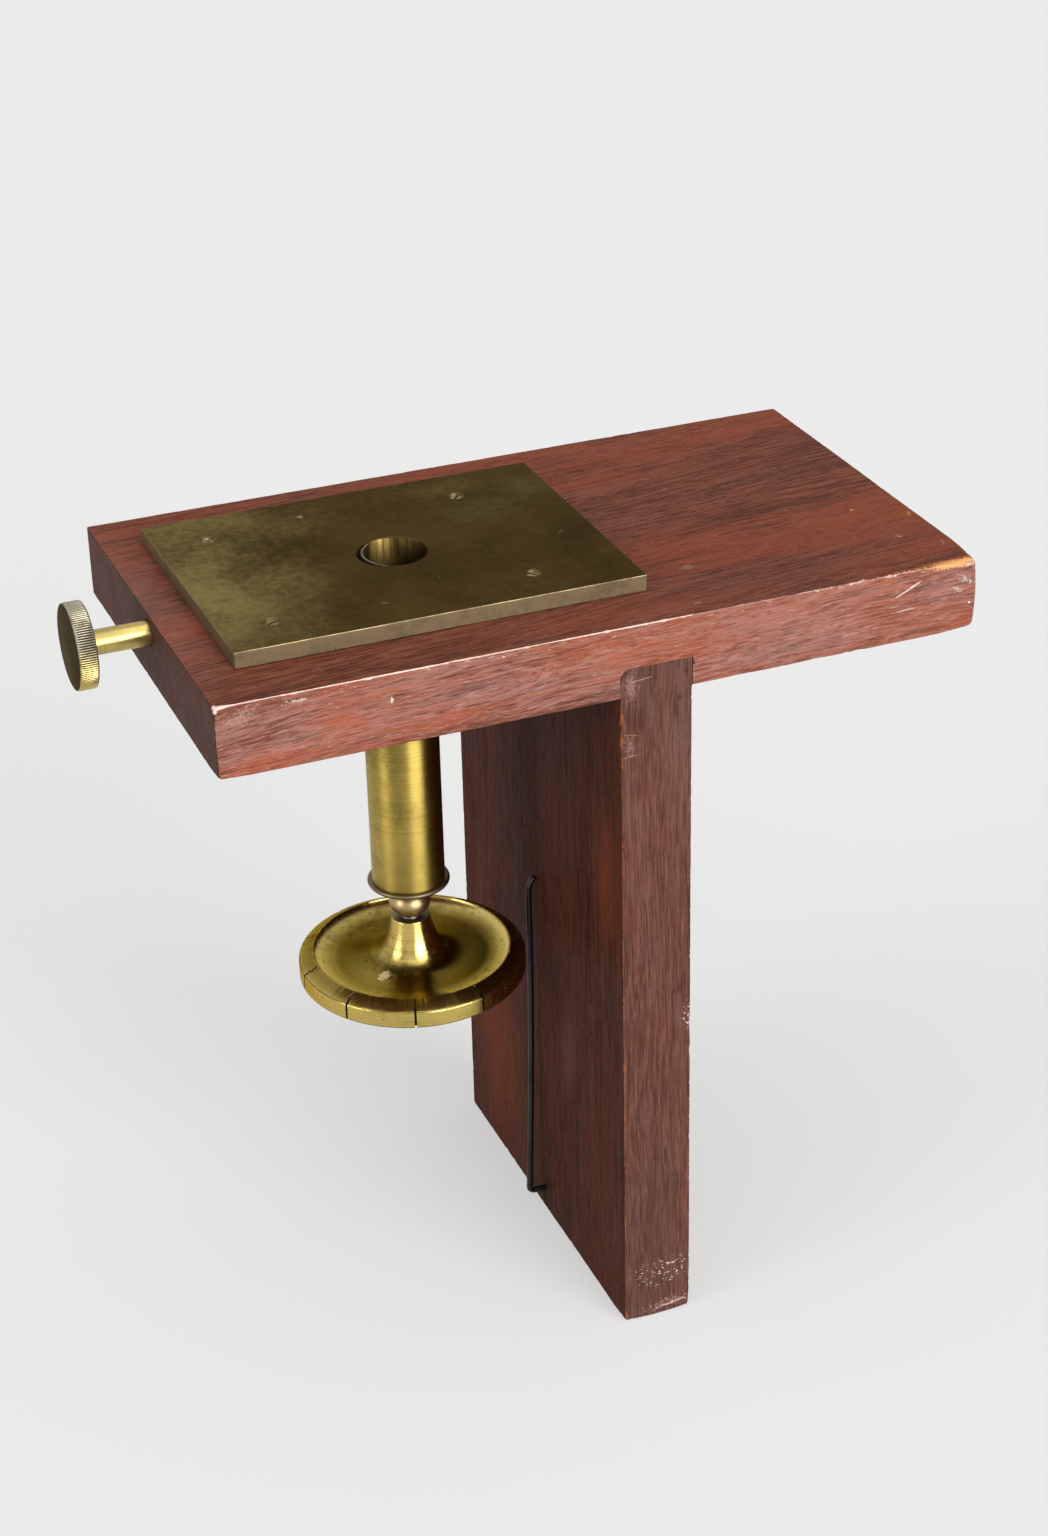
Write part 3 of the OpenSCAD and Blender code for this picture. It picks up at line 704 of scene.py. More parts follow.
legMesh = easedBlock(legLow, legHigh, leg["ease"], leg["pitch"], legEase)
roundCorner(legMesh, legCorner, leg["cornerRadius"])
byNormal(legMesh, {0: 1, 1: 0, 2: 2})
legMarks = {
    "front": marksOn(1, legLow.y, 2, [
        ("plum", 0.70, (54.6, -38.7), (1.8, 8.0), 0, 4.0, 0.5, 0.2),
        ("plum", 0.65, (54.3, -119.1), (1.8, 7.0), 0, 4.0, 0.5, 0.2),
        ("plum", 0.45, (45.0, -150.0), (2.2, 10.0), 0, 4.0, 0.5, 0.2),
        ("soot", 0.90, (53.8, -26.5), (0.7, 0.8), 0, 0.8),
        ("soot", 0.80, (55.7, -19.6), (1.0, 2.1), 25, 6.0, 0.45),
        ("soot", 0.60, (38.7, -17.2), (1.4, 2.0), 40, 2.0),
        ("haze", 0.40, (40.6, -21.0), (2.4, 4.6), 0, 4.0, 0.5, 0.1),
        ("haze", 0.60, (43.0, -19.6), (3.4, 0.25), -6, 2.0),
        ("haze", 0.30, (41.2, -34.6), (2.4, 0.22), 12, 5.0),
        ("haze", 0.35, (41.0, -40.4), (2.8, 0.25), -5, 5.0),
        ("haze", 0.35, (40.0, -37.5), (1.8, 3.6), 0, 5.0, 0.45),
        ("haze", 0.60, (50.0, -214.9), (9.0, 2.2), -4, 7.0, 0.42),
        ("white", 0.45, (52.5, -215.4), (5.0, 0.3), -7, 2.5),
        ("soot", 0.30, (51.0, -75.0), (0.35, 9.0), -3, 3.0),
    ]),
    "side": marksOn(0, legLow.x, 3, [
        # painted light: an orange pool of light low at the back of the side
        ("orange", 0.22, (36.0, -180.0), (30, 66), 0, 1.5, 0.5, 0.0),
        ("orange", 0.20, (-46.4, -81.4), (13, 34), 0, 2.0, 0.5, 0.0),
        ("plum", 0.40, (-20.0, -150.0), (8, 24), 0, 2.5, 0.5, 0.1),
    ]),
}
legSpecks = [
    ("white", 0.90, ((49.5, -57.6, -203.5), (11.0, 2, 5.5), (1.2, 1.0, 0.6), 0.085)),
    ("white", 0.85, ((56.9, -57.6, -121.5), (2.2, 2, 6.0), (0.6, 0.6, 0.8), 0.12)),
    ("white", 0.60, ((47.7, -57.6, -120.0), (14.0, 3, 120.0), (1.6, 1.2, 1.8), -0.03)),
]
# The leg's side is painted darker than its front, a painted shade
legFinishes = [
    woodFinish(
        "legFront", (0, 91, 0), tint=0.45, haze=0.26, glow=0.25, plum=0.8, paintedGlints=0.20, edge="rust", seed=0.9,
        rough=0.54, fine=1.4, wave=0.003, pore=0.30, marks=legMarks["front"], specks=legSpecks,
    ),
    woodFinish(
        "legSide", (0, 90, 0), tint=0.28, haze=0.03, glow=0.6, plum=0.2, paintedGlints=0.03, edge="rust", seed=1.2,
        rough=0.52, shine=0.04, fine=1.2, wave=0.004, deep=1.8, marks=legMarks["side"],
    ),
    woodFinish("legEnd", (0, 90, 0), tint=0.5, haze=0.2, glow=0.1, plum=0.6, seed=1.5, rough=0.55),
]
legPiece = asPiece("legBoard", legMesh, legFinishes, "table", ["leg"], weigh=True)


def legShare(point):
    # The left front edge below the top board is rubbed the most
    return 0.80 if point.x < 40 and point.y < -55 and point.z < boardLow.z - 0.1 else 0.42


markWearAndSheen(legPiece, legLow, legHigh, legShare)
print("leg made")


# Cutting plate and its screws

plate = {
    "ease": 0.3,
    "pitch": 0.8,
    "hole": 9.5,
    "screws": [(-41, -27.3, 20), (-41, 27.3, 75), (27.6, -27.3, 130), (27.6, 27.3, 50)],
    "headWidth": 4.2,
    "headRoom": 0.04,
    "sink": 0.5,
    "seat": -1.6,
    "pilot": 1.15,
    "holeEdge": (0.14, 0.12),
    "recessEdge": (0.12, 0.10),
    "slotWidth": 0.56,
    "slotDepth": 0.42,
}
plateLow, plateHigh = millimetres("cutting_plate")
plateMesh = easedBlock(plateLow, plateHigh, plate["ease"], plate["pitch"], chipWear([], 0.9, 1.0))
headRadius = plate["headWidth"] / 2


def holeCutter(outline, edge, steps):
    # Cuts a hole through the plate, whose upper edge is broken by so much across and down
    radius, (across, down) = outline[-1][0], edge
    return lathe([
        [0, plateLow.z - over], *outline, [radius, -down],
        [radius + across, 0.02], [radius + across, over], [0, over],
    ], steps)


recessLine = [
    [plate["pilot"], plateLow.z - over], [plate["pilot"], plate["seat"]],
    [headRadius + plate["headRoom"], -plate["sink"]],
]
plateHole = holeCutter([[plate["hole"], plateLow.z - over]], plate["holeEdge"], 128)
recesses = [
    lay(holeCutter(recessLine, plate["recessEdge"], 48), place=(x, y, 0)) for x, y, turn in plate["screws"]
]
plateMesh = carve(plateMesh, [plateHole, join(recesses)])
plateZones = marksOn(2, plateHigh.z, 9, [
    ((0.310, 0.240, 0.090), 0.85, (-58, 4), (46, 86), -8),
    ((0.250, 0.190, 0.070), 0.60, (-36, 30), (32, 18), 0),
    ((0.115, 0.098, 0.036), 0.75, (38, 22), (24, 12), 25),
    ((0.170, 0.125, 0.040), 0.65, (24, 34), (22, 8), -10),
    ((0.160, 0.120, 0.044), 0.55, (-40, -33), (14, 18), -30),
])
plateMarks = marksOn(2, plateHigh.z, 1, [
    ((0.38, 0.32, 0.20), 0.80, (-12.4, -28.7), (1.3, 0.2), -25, 0.6),
    ((0.32, 0.27, 0.16), 0.80, (-14.6, 31.4), (0.8, 1.2), 20, 4.0),
    ((0.28, 0.24, 0.15), 0.60, (43.4, -6.6), (1.6, 0.15), 40, 1.0),
    ((0.28, 0.24, 0.15), 0.60, (5.0, -20.0), (0.3, 0.3), 0, 0.5),
    ((0.28, 0.24, 0.15), 0.60, (18.0, 12.0), (0.25, 0.25), 0, 0.5),
    ((0.28, 0.24, 0.15), 0.60, (-28.0, -5.0), (0.8, 0.12), 70, 0.8),
])
plateFinish = brassFinish(
    "platePatina", (0.088, 0.054, 0.016), (0.034, 0.020, 0.007), rough=0.38, mottle=0.70, size=30, pits=0.4,
    slant=(0.55, 0.54, 0.50), zones=plateZones, marks=plateMarks,
)
byNormal(plateMesh, {0: 1, 1: 1, 2: 0})
# The plate's sides get a lighter copy of its brass: painted light on the faces turned to the lamps
plateSideLit = brassFinish(
    "plateSideLit", (0.31, 0.24, 0.135), (0.11, 0.085, 0.045), rough=0.42, mottle=0.8, size=90, pits=0.5,
)
plateFinishes = [plateFinish, plateSideLit]
asPiece("cuttingPlate", plateMesh, plateFinishes, "table", ["cutting_plate"], weigh=True)


def plateScrew(turn):
    # A low dome on a cone, a core that ends in a point, and a slot
    head = lathe([
        [0, 0.12], [0.8, 0.10], [1.5, 0.04], [headRadius - 0.12, -0.08], [headRadius, -0.22],
        [1.1, -1.1], [1.1, -11], [0.2, -14.5], [0, -14.5],
    ], 48)
    half = plate["slotWidth"] / 2
    slot = slab((-headRadius - over, -half, -plate["slotDepth"]), (headRadius + over, half, over))
    return carve(head, [lay(slot, spin(turn, "Z"))])


screwMesh = join([
    lay(plateScrew(turn), place=(x, y, -plate["sink"])) for x, y, turn in plate["screws"]
])
screwFinish = brassFinish("screwBrass", (0.30, 0.23, 0.085), (0.10, 0.075, 0.03), rough=0.28, mottle=0.6)
asPiece("plateScrews", screwMesh, screwFinish, "table", ["plate_screws"])
print("cutting plate and screws made")


# Specimen tube, cap and feed nut

tube = {
    "bore": 8.95, "spigot": 9.48, "outer": 9.9, "window": 7.45, "windowFoot": -15.1, "spigotRoom": 0.02,
    "ring": -49, "ringWidth": 0.5, "ringFloor": 0.2, "ringDepth": 0.05, "ease": 0.1,
}
ringRadius = tube["outer"] - tube["ringDepth"]
tubeMesh = lathe([
    [tube["bore"], 0], [tube["spigot"], 0], [tube["spigot"], plateLow.z], [tube["outer"], plateLow.z],
    [tube["outer"], tube["ring"] + tube["ringWidth"] / 2], [ringRadius, tube["ring"] + tube["ringFloor"] / 2],
    [ringRadius, tube["ring"] - tube["ringFloor"] / 2], [tube["outer"], tube["ring"] - tube["ringWidth"] / 2],
    [tube["outer"], tubeLow.z], [tube["bore"], tubeLow.z],
], 256)
roundOff(tubeMesh, tube["ease"], 2, least=60)
window = slab((-tube["outer"] - over, -tube["window"], tube["windowFoot"]), (0, tube["window"], over))
tubeMesh = carve(tubeMesh, [window])
tubeFinish = brassFinish(
    "tubeBrass", (0.48, 0.355, 0.085), (0.11, 0.072, 0.016), "Z", rough=0.42, mottle=0.35, lines=1.0,
    drag=0.9, pits=0.8,
)


def boreFinish():
    # The inside of the tube, dark and streaked along its length, with painted shade deepening it towards its
    # right side
    bore = Finish("boreBrass", Metallic=1.0)
    streaks = bore.cloud(bore.stretched((900, 900, 18)), detail=4, rough=0.7)
    stain = bore.cloud(bore.stretched((120, 120, 60)), detail=4, rough=0.6)
    share = bore.between(0.5 * streaks + 0.5 * stain, 0.38, 0.56)
    colour = bore.blend(0.9 * share, (0.40, 0.27, 0.08), (0.040, 0.025, 0.009))
    # Painted shade: the bore darkens towards its right side
    dark = bore.between(bore.zone((10, 0, -10), (15, 16, 17)), 1.0, 0.45)
    colour = bore.blend(0.9 * dark, colour, (0.030, 0.018, 0.007))
    return bore.paint(colour, 0.32 + 0.2 * share, [(streaks, 0.00003)])


for face in tubeMesh.faces:
    middle = face.calc_center_median() / mm
    if middle.z > -0.2 or middle.x < 0 and abs(face.normal.y) > 0.9 and middle.z > plateLow.z:
        face.material_index = 2
    elif hypot(middle.x, middle.y) < tube["bore"] + 0.05:
        face.material_index = 1
tubeFinishes = [tubeFinish, boreFinish(), plateFinish]
asPiece("specimenTube", tubeMesh, tubeFinishes, "table", ["tube"])

gunmetal = brassFinish(
    "gunmetal", (0.46, 0.325, 0.16), (0.14, 0.10, 0.06), "Z", rough=0.36, mottle=0.45, drag=0.3,
)
flangeFinish = brassFinish(
    "flangeMetal", (0.20, 0.15, 0.09), (0.08, 0.06, 0.04), "Z", rough=0.36, mottle=0.6, lines=0.5,
)
capLow, capHigh = millimetres("tube_cap")
flangeRadius = capHigh.x
flangeTop, flangeFoot = tubeLow.z, capLow.z
flangeMiddle = (flangeTop + flangeFoot) / 2
flangeHalf = (flangeTop - flangeFoot) / 2
rimArc = arc((flangeRadius - flangeHalf, flangeMiddle), (flangeHalf, flangeHalf), range(-90, 91, 15))
nutLow, nutHigh = millimetres("feed_nut")
threadRadius = nutHigh.x
spigotRadius = tube["bore"] - tube["spigotRoom"]
capMesh = lathe([
    [threadRadius, flangeFoot], *rimArc, [spigotRadius, flangeTop], [spigotRadius, capHigh.z],
    [threadRadius, capHigh.z],
])
asPiece("tubeCap", capMesh, flangeFinish, "table", ["tube_cap"])

feedNut = {
    "neck": 4.4, "bead": 5.65, "beadHalf": 4.3, "beadDrop": 6.2, "beadEnd": 3.3, "beadTop": 38, "bore": 2.75,
}
beadMiddle = flangeFoot - feedNut["beadDrop"]
beadCut = degrees(acos(feedNut["beadEnd"] / feedNut["bead"]))
beadAngles = [-beadCut + (feedNut["beadTop"] + beadCut) * i / 20 for i in range(21)]
beadArc = arc((0, beadMiddle), (feedNut["bead"], feedNut["beadHalf"]), beadAngles)
nutMesh = lathe([
    [feedNut["bore"], nutLow.z], *beadArc, [feedNut["neck"], flangeFoot], [threadRadius, flangeFoot],
    [threadRadius, nutHigh.z], [feedNut["bore"], nutHigh.z],
])
asPiece("feedNut", nutMesh, gunmetal, "table", ["feed_nut"])
print("tube, cap and feed nut made")


# Feed screw, index wheel, washer and nut

screwLow, screwHigh = millimetres("feed_screw")
plugLow, plugHigh = millimetres("plug")
wheelLow, wheelHigh = millimetres("index_wheel")
feedScrew = {"radius": 2.7, "journal": 2.2, "pitch": 0.635, "depth": 0.32, "lead": 0.6}


def threaded(low, high, radius, pitch, depth, lead, ringStep=6, steps=36):
    # A closed rod whose skin follows a right-hand thread, fading out at both ends
    rings = int((high - low) / pitch * ringStep)
    bm = spun([[radius, low + (high - low) * i / rings] for i in range(rings + 1)], steps, closed=False)
    closeHoles(bm)
    for vert in bm.verts:
        height = vert.co.z / mm
        phase = (atan2(vert.co.y, vert.co.x) / tau - (height - low) / pitch) % 1
        fade = min(1.0, (height - low) / lead, (high - height) / lead)
        groove = depth * fade * min(1.0, 1.25 * (1 - abs(2 * phase - 1)))
        scale = 1 - groove / radius
        vert.co.x *= scale
        vert.co.y *= scale
    bmesh.ops.recalc_face_normals(bm, faces=bm.faces[:])
    return bm


steel = brassFinish("turnedSteel", (0.20, 0.18, 0.16), (0.06, 0.05, 0.045), "Z", rough=0.38, mottle=0.6)
shoulder = plugLow.z - 0.1
screwMesh = join([
    threaded(wheelHigh.z, shoulder, *[feedScrew[key] for key in ("radius", "pitch", "depth", "lead")]),
    roundOff(cylinder(feedScrew["journal"], shoulder, screwHigh.z, 64), 0.1, 2),
    roundOff(cylinder(feedScrew["journal"], screwLow.z, wheelHigh.z, 64), 0.25, 2),
])
asPiece("feedScrew", screwMesh, steel, "feed_wheel", ["feed_screw"], sharp=50)

wheel = {
    "hub": 5.3, "flare": 6, "ringWidth": 4.1, "ringRise": 1.8, "cove": 7.0, "dish": 2.2,
    "rimRound": 0.8, "rimChamfer": 0.4, "hollow": 0.6, "underRim": 5.0, "underBoss": 6.0, "rimHeight": 5.2,
    "bore": 2.22, "notches": 10, "notchWidth": 0.6, "notchDepth": 1.5, "firstNotch": -18.5,
    "figureHeight": 2.5, "figureDepth": 0.22, "figureBold": 0.008, "figureRadius": 28.45,
}
wheelRadius = wheelHigh.x
rimTop = wheelLow.z + wheel["rimHeight"]
lipRadius = wheelRadius - wheel["ringWidth"]
lipTop = rimTop + wheel["ringRise"]
dishRadius = lipRadius - wheel["cove"]
dishFloor = lipTop - wheel["dish"]
ringSlope = degrees(atan(wheel["ringRise"] / wheel["ringWidth"]))


def flareHeight(radius):
    run = dishRadius - wheel["hub"]
    return wheelHigh.z - (wheelHigh.z - dishFloor) * (1 - ((dishRadius - radius) / run) ** wheel["flare"])


flareSteps = 48
flareRun = dishRadius - wheel["hub"]
flareRadii = [wheel["hub"] + flareRun * (i / flareSteps) ** 2 for i in range(flareSteps + 1)]
flareLine = [[wheel["hub"] - 0.25, wheelHigh.z], [wheel["hub"] - 0.07, wheelHigh.z - 0.07]]
flareLine += [[r, flareHeight(r) - 0.25 * (1 - i / flareSteps) ** 2] for i, r in enumerate(flareRadii)]
coveLine = arc((dishRadius, lipTop), (wheel["cove"], wheel["dish"]), range(-86, -1, 4))
lipLine = [
    [lipRadius - 0.02, lipTop - 0.10], [lipRadius + 0.05, lipTop - 0.03], [lipRadius + 0.2, lipTop - 0.06],
]
rimRound = wheel["rimRound"]
rimAngles = [(90 - ringSlope) * (1 - i / 6) for i in range(7)]
rimLine = arc((wheelRadius - rimRound, rimTop - rimRound), (rimRound, rimRound), rimAngles)


def ringHeight(radius):
    (innerRadius, innerTop), (outerRadius, outerTop) = lipLine[-1], rimLine[0]
    return outerTop + (innerTop - outerTop) * (outerRadius - radius) / (outerRadius - innerRadius)


foot = wheelLow.z
underRim = wheelRadius - wheel["underRim"]
wheelMesh = lathe([
    *flareLine, *coveLine, *lipLine, *rimLine,
    [wheelRadius, foot + wheel["rimChamfer"]], [wheelRadius - wheel["rimChamfer"], foot],
    [underRim, foot], [underRim - wheel["hollow"], foot + wheel["hollow"]],
    [wheel["underBoss"] + wheel["hollow"], foot + wheel["hollow"]], [wheel["underBoss"], foot],
    [wheel["bore"], foot], [wheel["bore"], wheelHigh.z],
], 360)


def figure(character, height, depth, bold):
    # A plain figure as a closed solid, slightly bolder than the font's, centred on its own middle
    curve = bpy.data.curves.new("figure", "FONT")
    curve.body = character
    curve.size = 1.0
    curve.extrude = 1.0
    curve.offset = bold
    made = addObject("figure", curve)
    bpy.context.view_layer.update()
    solid = bpy.data.meshes.new_from_object(made)
    bm = bmesh.new()
    bm.from_mesh(solid)
    bpy.data.objects.remove(made)
    bpy.data.curves.remove(curve)
    bpy.data.meshes.remove(solid)
    bmesh.ops.remove_doubles(bm, verts=bm.verts[:], dist=1e-5)
    low = Vector([min(v.co[i] for v in bm.verts) for i in range(3)])
    high = Vector([max(v.co[i] for v in bm.verts) for i in range(3)])
    bmesh.ops.translate(bm, vec=-(low + high) / 2, verts=bm.verts[:])
    size = height / (high.y - low.y) * mm
    bmesh.ops.scale(bm, vec=(size, size, depth * mm), verts=bm.verts[:])
    return bm


notchCutters = []
figureCutters = []
for index in range(wheel["notches"]):
    turn = spin(wheel["firstNotch"] + index * 360 / wheel["notches"], "Z")
    half = wheel["notchWidth"] / 2
    notch = slab(
        (-half, -wheelRadius - over, foot - over), (half, -wheelRadius + wheel["notchDepth"], lipTop + over),
    )
    notchCutters.append(lay(notch, turn))
    number = str(-index % wheel["notches"] + 1)[-1]
    stamp = figure(number, wheel["figureHeight"], wheel["figureDepth"], wheel["figureBold"])
    lay(stamp, spin(ringSlope, "X"))
    lay(stamp, None, (0, -wheel["figureRadius"], ringHeight(wheel["figureRadius"])))
    figureCutters.append(lay(stamp, turn))
wheelMesh = carve(wheelMesh, [join(notchCutters)])
wheelMesh = carve(wheelMesh, [join(figureCutters)])


def wheelFinish():
    # Turned brass with a clean hub, a stained dish, a bright cove that is partly a painted highlight, a dark
    # ring and a rubbed rim whose outer edge is partly a painted highlight
    slant = (0.75, 0.6, 0.35, 1)
    brass = Finish(
        "wheelBrass", Metallic=1.0, Anisotropic=0.75, Anisotropic_Rotation=0.25, Specular_Tint=slant,
    )
    radius = brass.zone((0, 0, 0), (1, 1, 1e6))
    height = brass.parts()[2] / mm
    clouds = brass.cloud(brass.here, 34, 5, 0.6)
    grime = brass.cloud(brass.here, 420, 5, 0.7)
    edgy = brass.cloud(brass.here, 900, 4, 0.7)
    # The bright stops at the cove and at the rim's outer edge are partly painted highlights
    stops = [
        # distance from the axis in millimetres, and the colour there
        (0, (0.68, 0.52, 0.17)), (7, (0.64, 0.48, 0.14)), (11.5, (0.17, 0.120, 0.026)),
        (20, (0.15, 0.105, 0.021)), (23.5, (0.40, 0.30, 0.075)), (26.6, (0.72, 0.56, 0.19)),
        (27.2, (0.30, 0.22, 0.055)), (28.0, (0.26, 0.190, 0.048)), (29.9, (0.36, 0.27, 0.068)),
        (30.7, (0.55, 0.41, 0.115)),
    ]
    reach = 32
    colour = brass.ramp((radius + 0.8 * (grime - 0.5)) / reach, *[(r / reach, shade) for r, shade in stops])
    for patina, strength, place in marksOn(2, dishFloor, 3, [
        ((0.052, 0.031, 0.010), 0.85, (14, 5), (15, 13), 0),
        ((0.038, 0.028, 0.009), 0.80, (-11, 9), (9, 7), 0),
        ((0.32, 0.24, 0.055), 0.70, (-14, -8), (9, 12), 0),
        ((0.22, 0.12, 0.030), 0.50, (21, 3), (5, 7), 0),
    ]):
        soft = brass.between(brass.zone(*place) + 1.4 * (clouds - 0.5) + 0.5 * (grime - 0.5), 1.0, 0.1)
        colour = brass.blend(strength * soft, colour, patina)
    stain = brass.between(0.6 * clouds + 0.4 * grime, 0.48, 0.64)
    colour = brass.blend(0.45 * stain, colour, (0.085, 0.058, 0.018))
    turned = brass.rings(1.6 * (radius + height), 4, 0.75)
    colour = brass.blend(0.5 * brass.between(turned, 0.52, 0.64), colour, (0.10, 0.07, 0.02))
    lower = brass.between(height + 0.9 * (edgy - 0.5), foot + 0.7, foot + 0.2)
    colour = brass.blend(0.8 * lower * brass.between(radius, 29, 31), colour, (0.06, 0.04, 0.014))
    specks = brass.between(brass.cloud(brass.here, 1100, 2), 0.67, 0.72)
    colour = brass.blend(0.8 * specks, colour, (0.02, 0.014, 0.006))
    flake = brass.mark(edgy, (-11.0, -8.6, dishFloor), (2.5, 1.8, 1.5), (0, 0, 40), 2.6, 0.5)
    colour = brass.blend(flake, colour, (0.80, 0.66, 0.36))
    for centre in ((-8.9, -8.2, dishFloor), (-9.9, -10.2, dishFloor)):
        burnt = brass.mark(edgy, centre, (1.4, 0.9, 1.5), (0, 0, 20), 6.0, 0.42)
        colour = brass.blend(0.9 * burnt, colour, (0.02, 0.012, 0.006))
    roughness = 0.21 + 0.14 * stain + 0.10 * (turned - 0.5) + 0.25 * flake
    return brass.paint(colour, roughness, [(turned, 0.000012), (grime, 0.000008), (specks, -0.00003)])


dirt = brassFinish("dirt", (0.030, 0.020, 0.010), (0.012, 0.009, 0.006), rough=0.6)
for face in wheelMesh.faces:
    middle = face.calc_center_median() / mm
    radius = hypot(middle.x, middle.y)
    sunk = foot + 0.05 < middle.z < ringHeight(radius) - 0.05
    if lipRadius + 0.4 < radius < wheelRadius - 0.1 and sunk:
        face.material_index = 1
    # The hub's top face gets the darker flange metal, a painted shade under the bead
    elif middle.z > wheelHigh.z - 0.1:
        face.material_index = 2
for vert in wheelMesh.verts:
    # Small nicks in the lip round the dish and in the rim's edge
    point = vert.co / mm
    radius = hypot(point.x, point.y)
    around = Vector((atan2(point.y, point.x) * 30, radius, 0))
    if abs(radius - lipRadius) < 0.12 and point.z > lipTop - 0.15:
        vert.co.z -= 0.9 * max(0.0, noise.noise(around * 0.75) - 0.36) * mm
    if radius > wheelRadius - 0.6 and rimTop - 0.8 < point.z:
        shrink = 1 - 0.9 * max(0.0, noise.noise(around * 0.45 + Vector((0, 0, 5))) - 0.35) / radius
        vert.co.x *= shrink
        vert.co.y *= shrink
wheelFinishes = [wheelFinish(), dirt, flangeFinish]
asPiece("indexWheel", wheelMesh, wheelFinishes, "feed_wheel", ["index_wheel"])

washerLow, washerHigh = millimetres("wheel_washer")
washerMesh = roundOff(lathe([
    [wheel["bore"], washerLow.z], [washerHigh.x, washerLow.z], [washerHigh.x, washerHigh.z],
    [wheel["bore"], washerHigh.z],
], 96), 0.12, 2)
asPiece("wheelWasher", washerMesh, tubeFinish, "feed_wheel", ["wheel_washer"])

hexLow, hexHigh = millimetres("wheel_nut")
hexRadius = hexHigh.x
hexFlat = hexRadius * cos(radians(30))
prism = bmesh.new()
bmesh.ops.create_cone(
    prism, cap_ends=True, segments=6, radius1=hexRadius * mm, radius2=hexRadius * mm,
    depth=(hexHigh.z - hexLow.z) * mm,
)
lay(prism, spin(30, "Z"), (0, 0, (hexLow.z + hexHigh.z) / 2))
envelope = lathe([  # its cone takes the lower corners off the prism
    [0, hexLow.z - 0.1], [hexFlat - 0.25, hexLow.z - 0.1], [hexRadius + 0.06, hexLow.z + 0.55],
    [hexRadius + 0.06, hexHigh.z + 0.1], [0, hexHigh.z + 0.1],
], 96)
hexMesh = carve(prism, [envelope], "INTERSECT")
hexMesh = carve(hexMesh, [cylinder(wheel["bore"], hexLow.z - over, hexHigh.z + over, 64)])
asPiece("wheelNut", hexMesh, steel, "feed_wheel", ["wheel_nut"])
print("feed screw and index wheel made")


# Plug

plug = {"recess": 2.4, "headRadius": 3.25, "bore": 2.25}
plugRadius = plugHigh.x
plugMesh = roundOff(lathe([
    [plug["bore"], plugLow.z], [plugRadius, plugLow.z], [plugRadius, plugHigh.z],
    [plug["headRadius"], plugHigh.z], [plug["headRadius"], plugHigh.z - plug["recess"]],
    [plug["bore"], plugHigh.z - plug["recess"]],
], 128), 0.12, 2)
asPiece("specimenPlug", plugMesh, tubeFinish, "specimen_plug", ["plug"])


# Clamp screw and its knurled head

headLow, headHigh = millimetres("clamp_head")
clamp = {
    "shank": 3.25, "pivot": 2.0, "pivotLength": 4, "groove": 1.2, "grooveAt": (1.45, 2.55), "stub": 2.2,
    "ribs": 110, "ribDepth": 0.28, "ribInset": 0.9,
}
shankLow, shankHigh = millimetres("clamp_screw")
pivotStart = shankHigh.x - clamp["pivotLength"]
grooveStart, grooveEnd = [pivotStart + at for at in clamp["grooveAt"]]
shankMesh = lathe([
    [0, shankLow.x], [clamp["stub"], shankLow.x], [clamp["stub"], headHigh.x], [clamp["shank"], headHigh.x],
    [clamp["shank"], pivotStart], [clamp["pivot"], pivotStart], [clamp["pivot"], grooveStart],
    [clamp["groove"], grooveStart], [clamp["groove"], grooveEnd], [clamp["pivot"], grooveEnd],
    [clamp["pivot"], shankHigh.x], [0, shankHigh.x],
], 128)
lay(shankMesh, toX, (0, 0, clampAxis))
clampFinish = brassFinish(
    "clampBrass", (0.58, 0.45, 0.15), (0.17, 0.12, 0.04), "X", (0, 0, clampAxis * mm), rough=0.24, mottle=0.4,
    lines=0.6, pits=0.4,
)
asPiece("clampScrew", shankMesh, clampFinish, "clamp", ["clamp_screw"])

knobRadius = (headHigh.z - headLow.z) / 2
headMesh = lathe([
    [0, headLow.x], [knobRadius - 0.5, headLow.x], [knobRadius - 0.15, headLow.x + 0.15],
    [knobRadius, headLow.x + 0.5], [knobRadius, headLow.x + clamp["ribInset"]],
    [knobRadius, headHigh.x - clamp["ribInset"] * 0.6], [knobRadius, headHigh.x - 0.5],
    [knobRadius - 0.15, headHigh.x - 0.15], [knobRadius - 0.5, headHigh.x], [0, headHigh.x],
], clamp["ribs"] * 6)
groove = headMesh.verts.layers.float.new("groove")
for vert in headMesh.verts:
    radius = hypot(vert.co.x, vert.co.y) / mm
    if radius > knobRadius - 0.3:
        height = vert.co.z / mm
        inRibs = headLow.x + 0.6 < height < headHigh.x - 0.4
        phase = atan2(vert.co.y, vert.co.x) / tau * clamp["ribs"]
        depth = (0.5 - 0.5 * cos(tau * phase)) * (1.0 if inRibs else 0.5)
        shrink = 1 - clamp["ribDepth"] * depth / radius
        vert.co.x *= shrink
        vert.co.y *= shrink
        vert[groove] = depth
lay(headMesh, toX, (0, 0, clampAxis))


def ribFinish():
    # Ribs darker between them, grey towards the top and golden towards the bottom
    ribs = Finish("headRibs", Metallic=1.0)
    depth = ribs.node("Attribute", out="Fac", attribute_name="groove")
    clouds = ribs.cloud(ribs.here, 260, 5, 0.7)
    golden = ribs.between(ribs.parts()[2] / mm + 9 * (clouds - 0.5), clampAxis + 5.5, clampAxis - 2.5)
    crest = ribs.blend(golden, (0.34, 0.31, 0.24), (0.62, 0.47, 0.17))
    crest = ribs.blend(0.7 * ribs.between(clouds, 0.52, 0.64), crest, (0.16, 0.13, 0.08))
    colour = ribs.blend(ribs.between(depth, 0.15, 0.75), crest, (0.045, 0.032, 0.016))
    return ribs.paint(colour, 0.26 + 0.2 * clouds, [(clouds, 0.00003)])


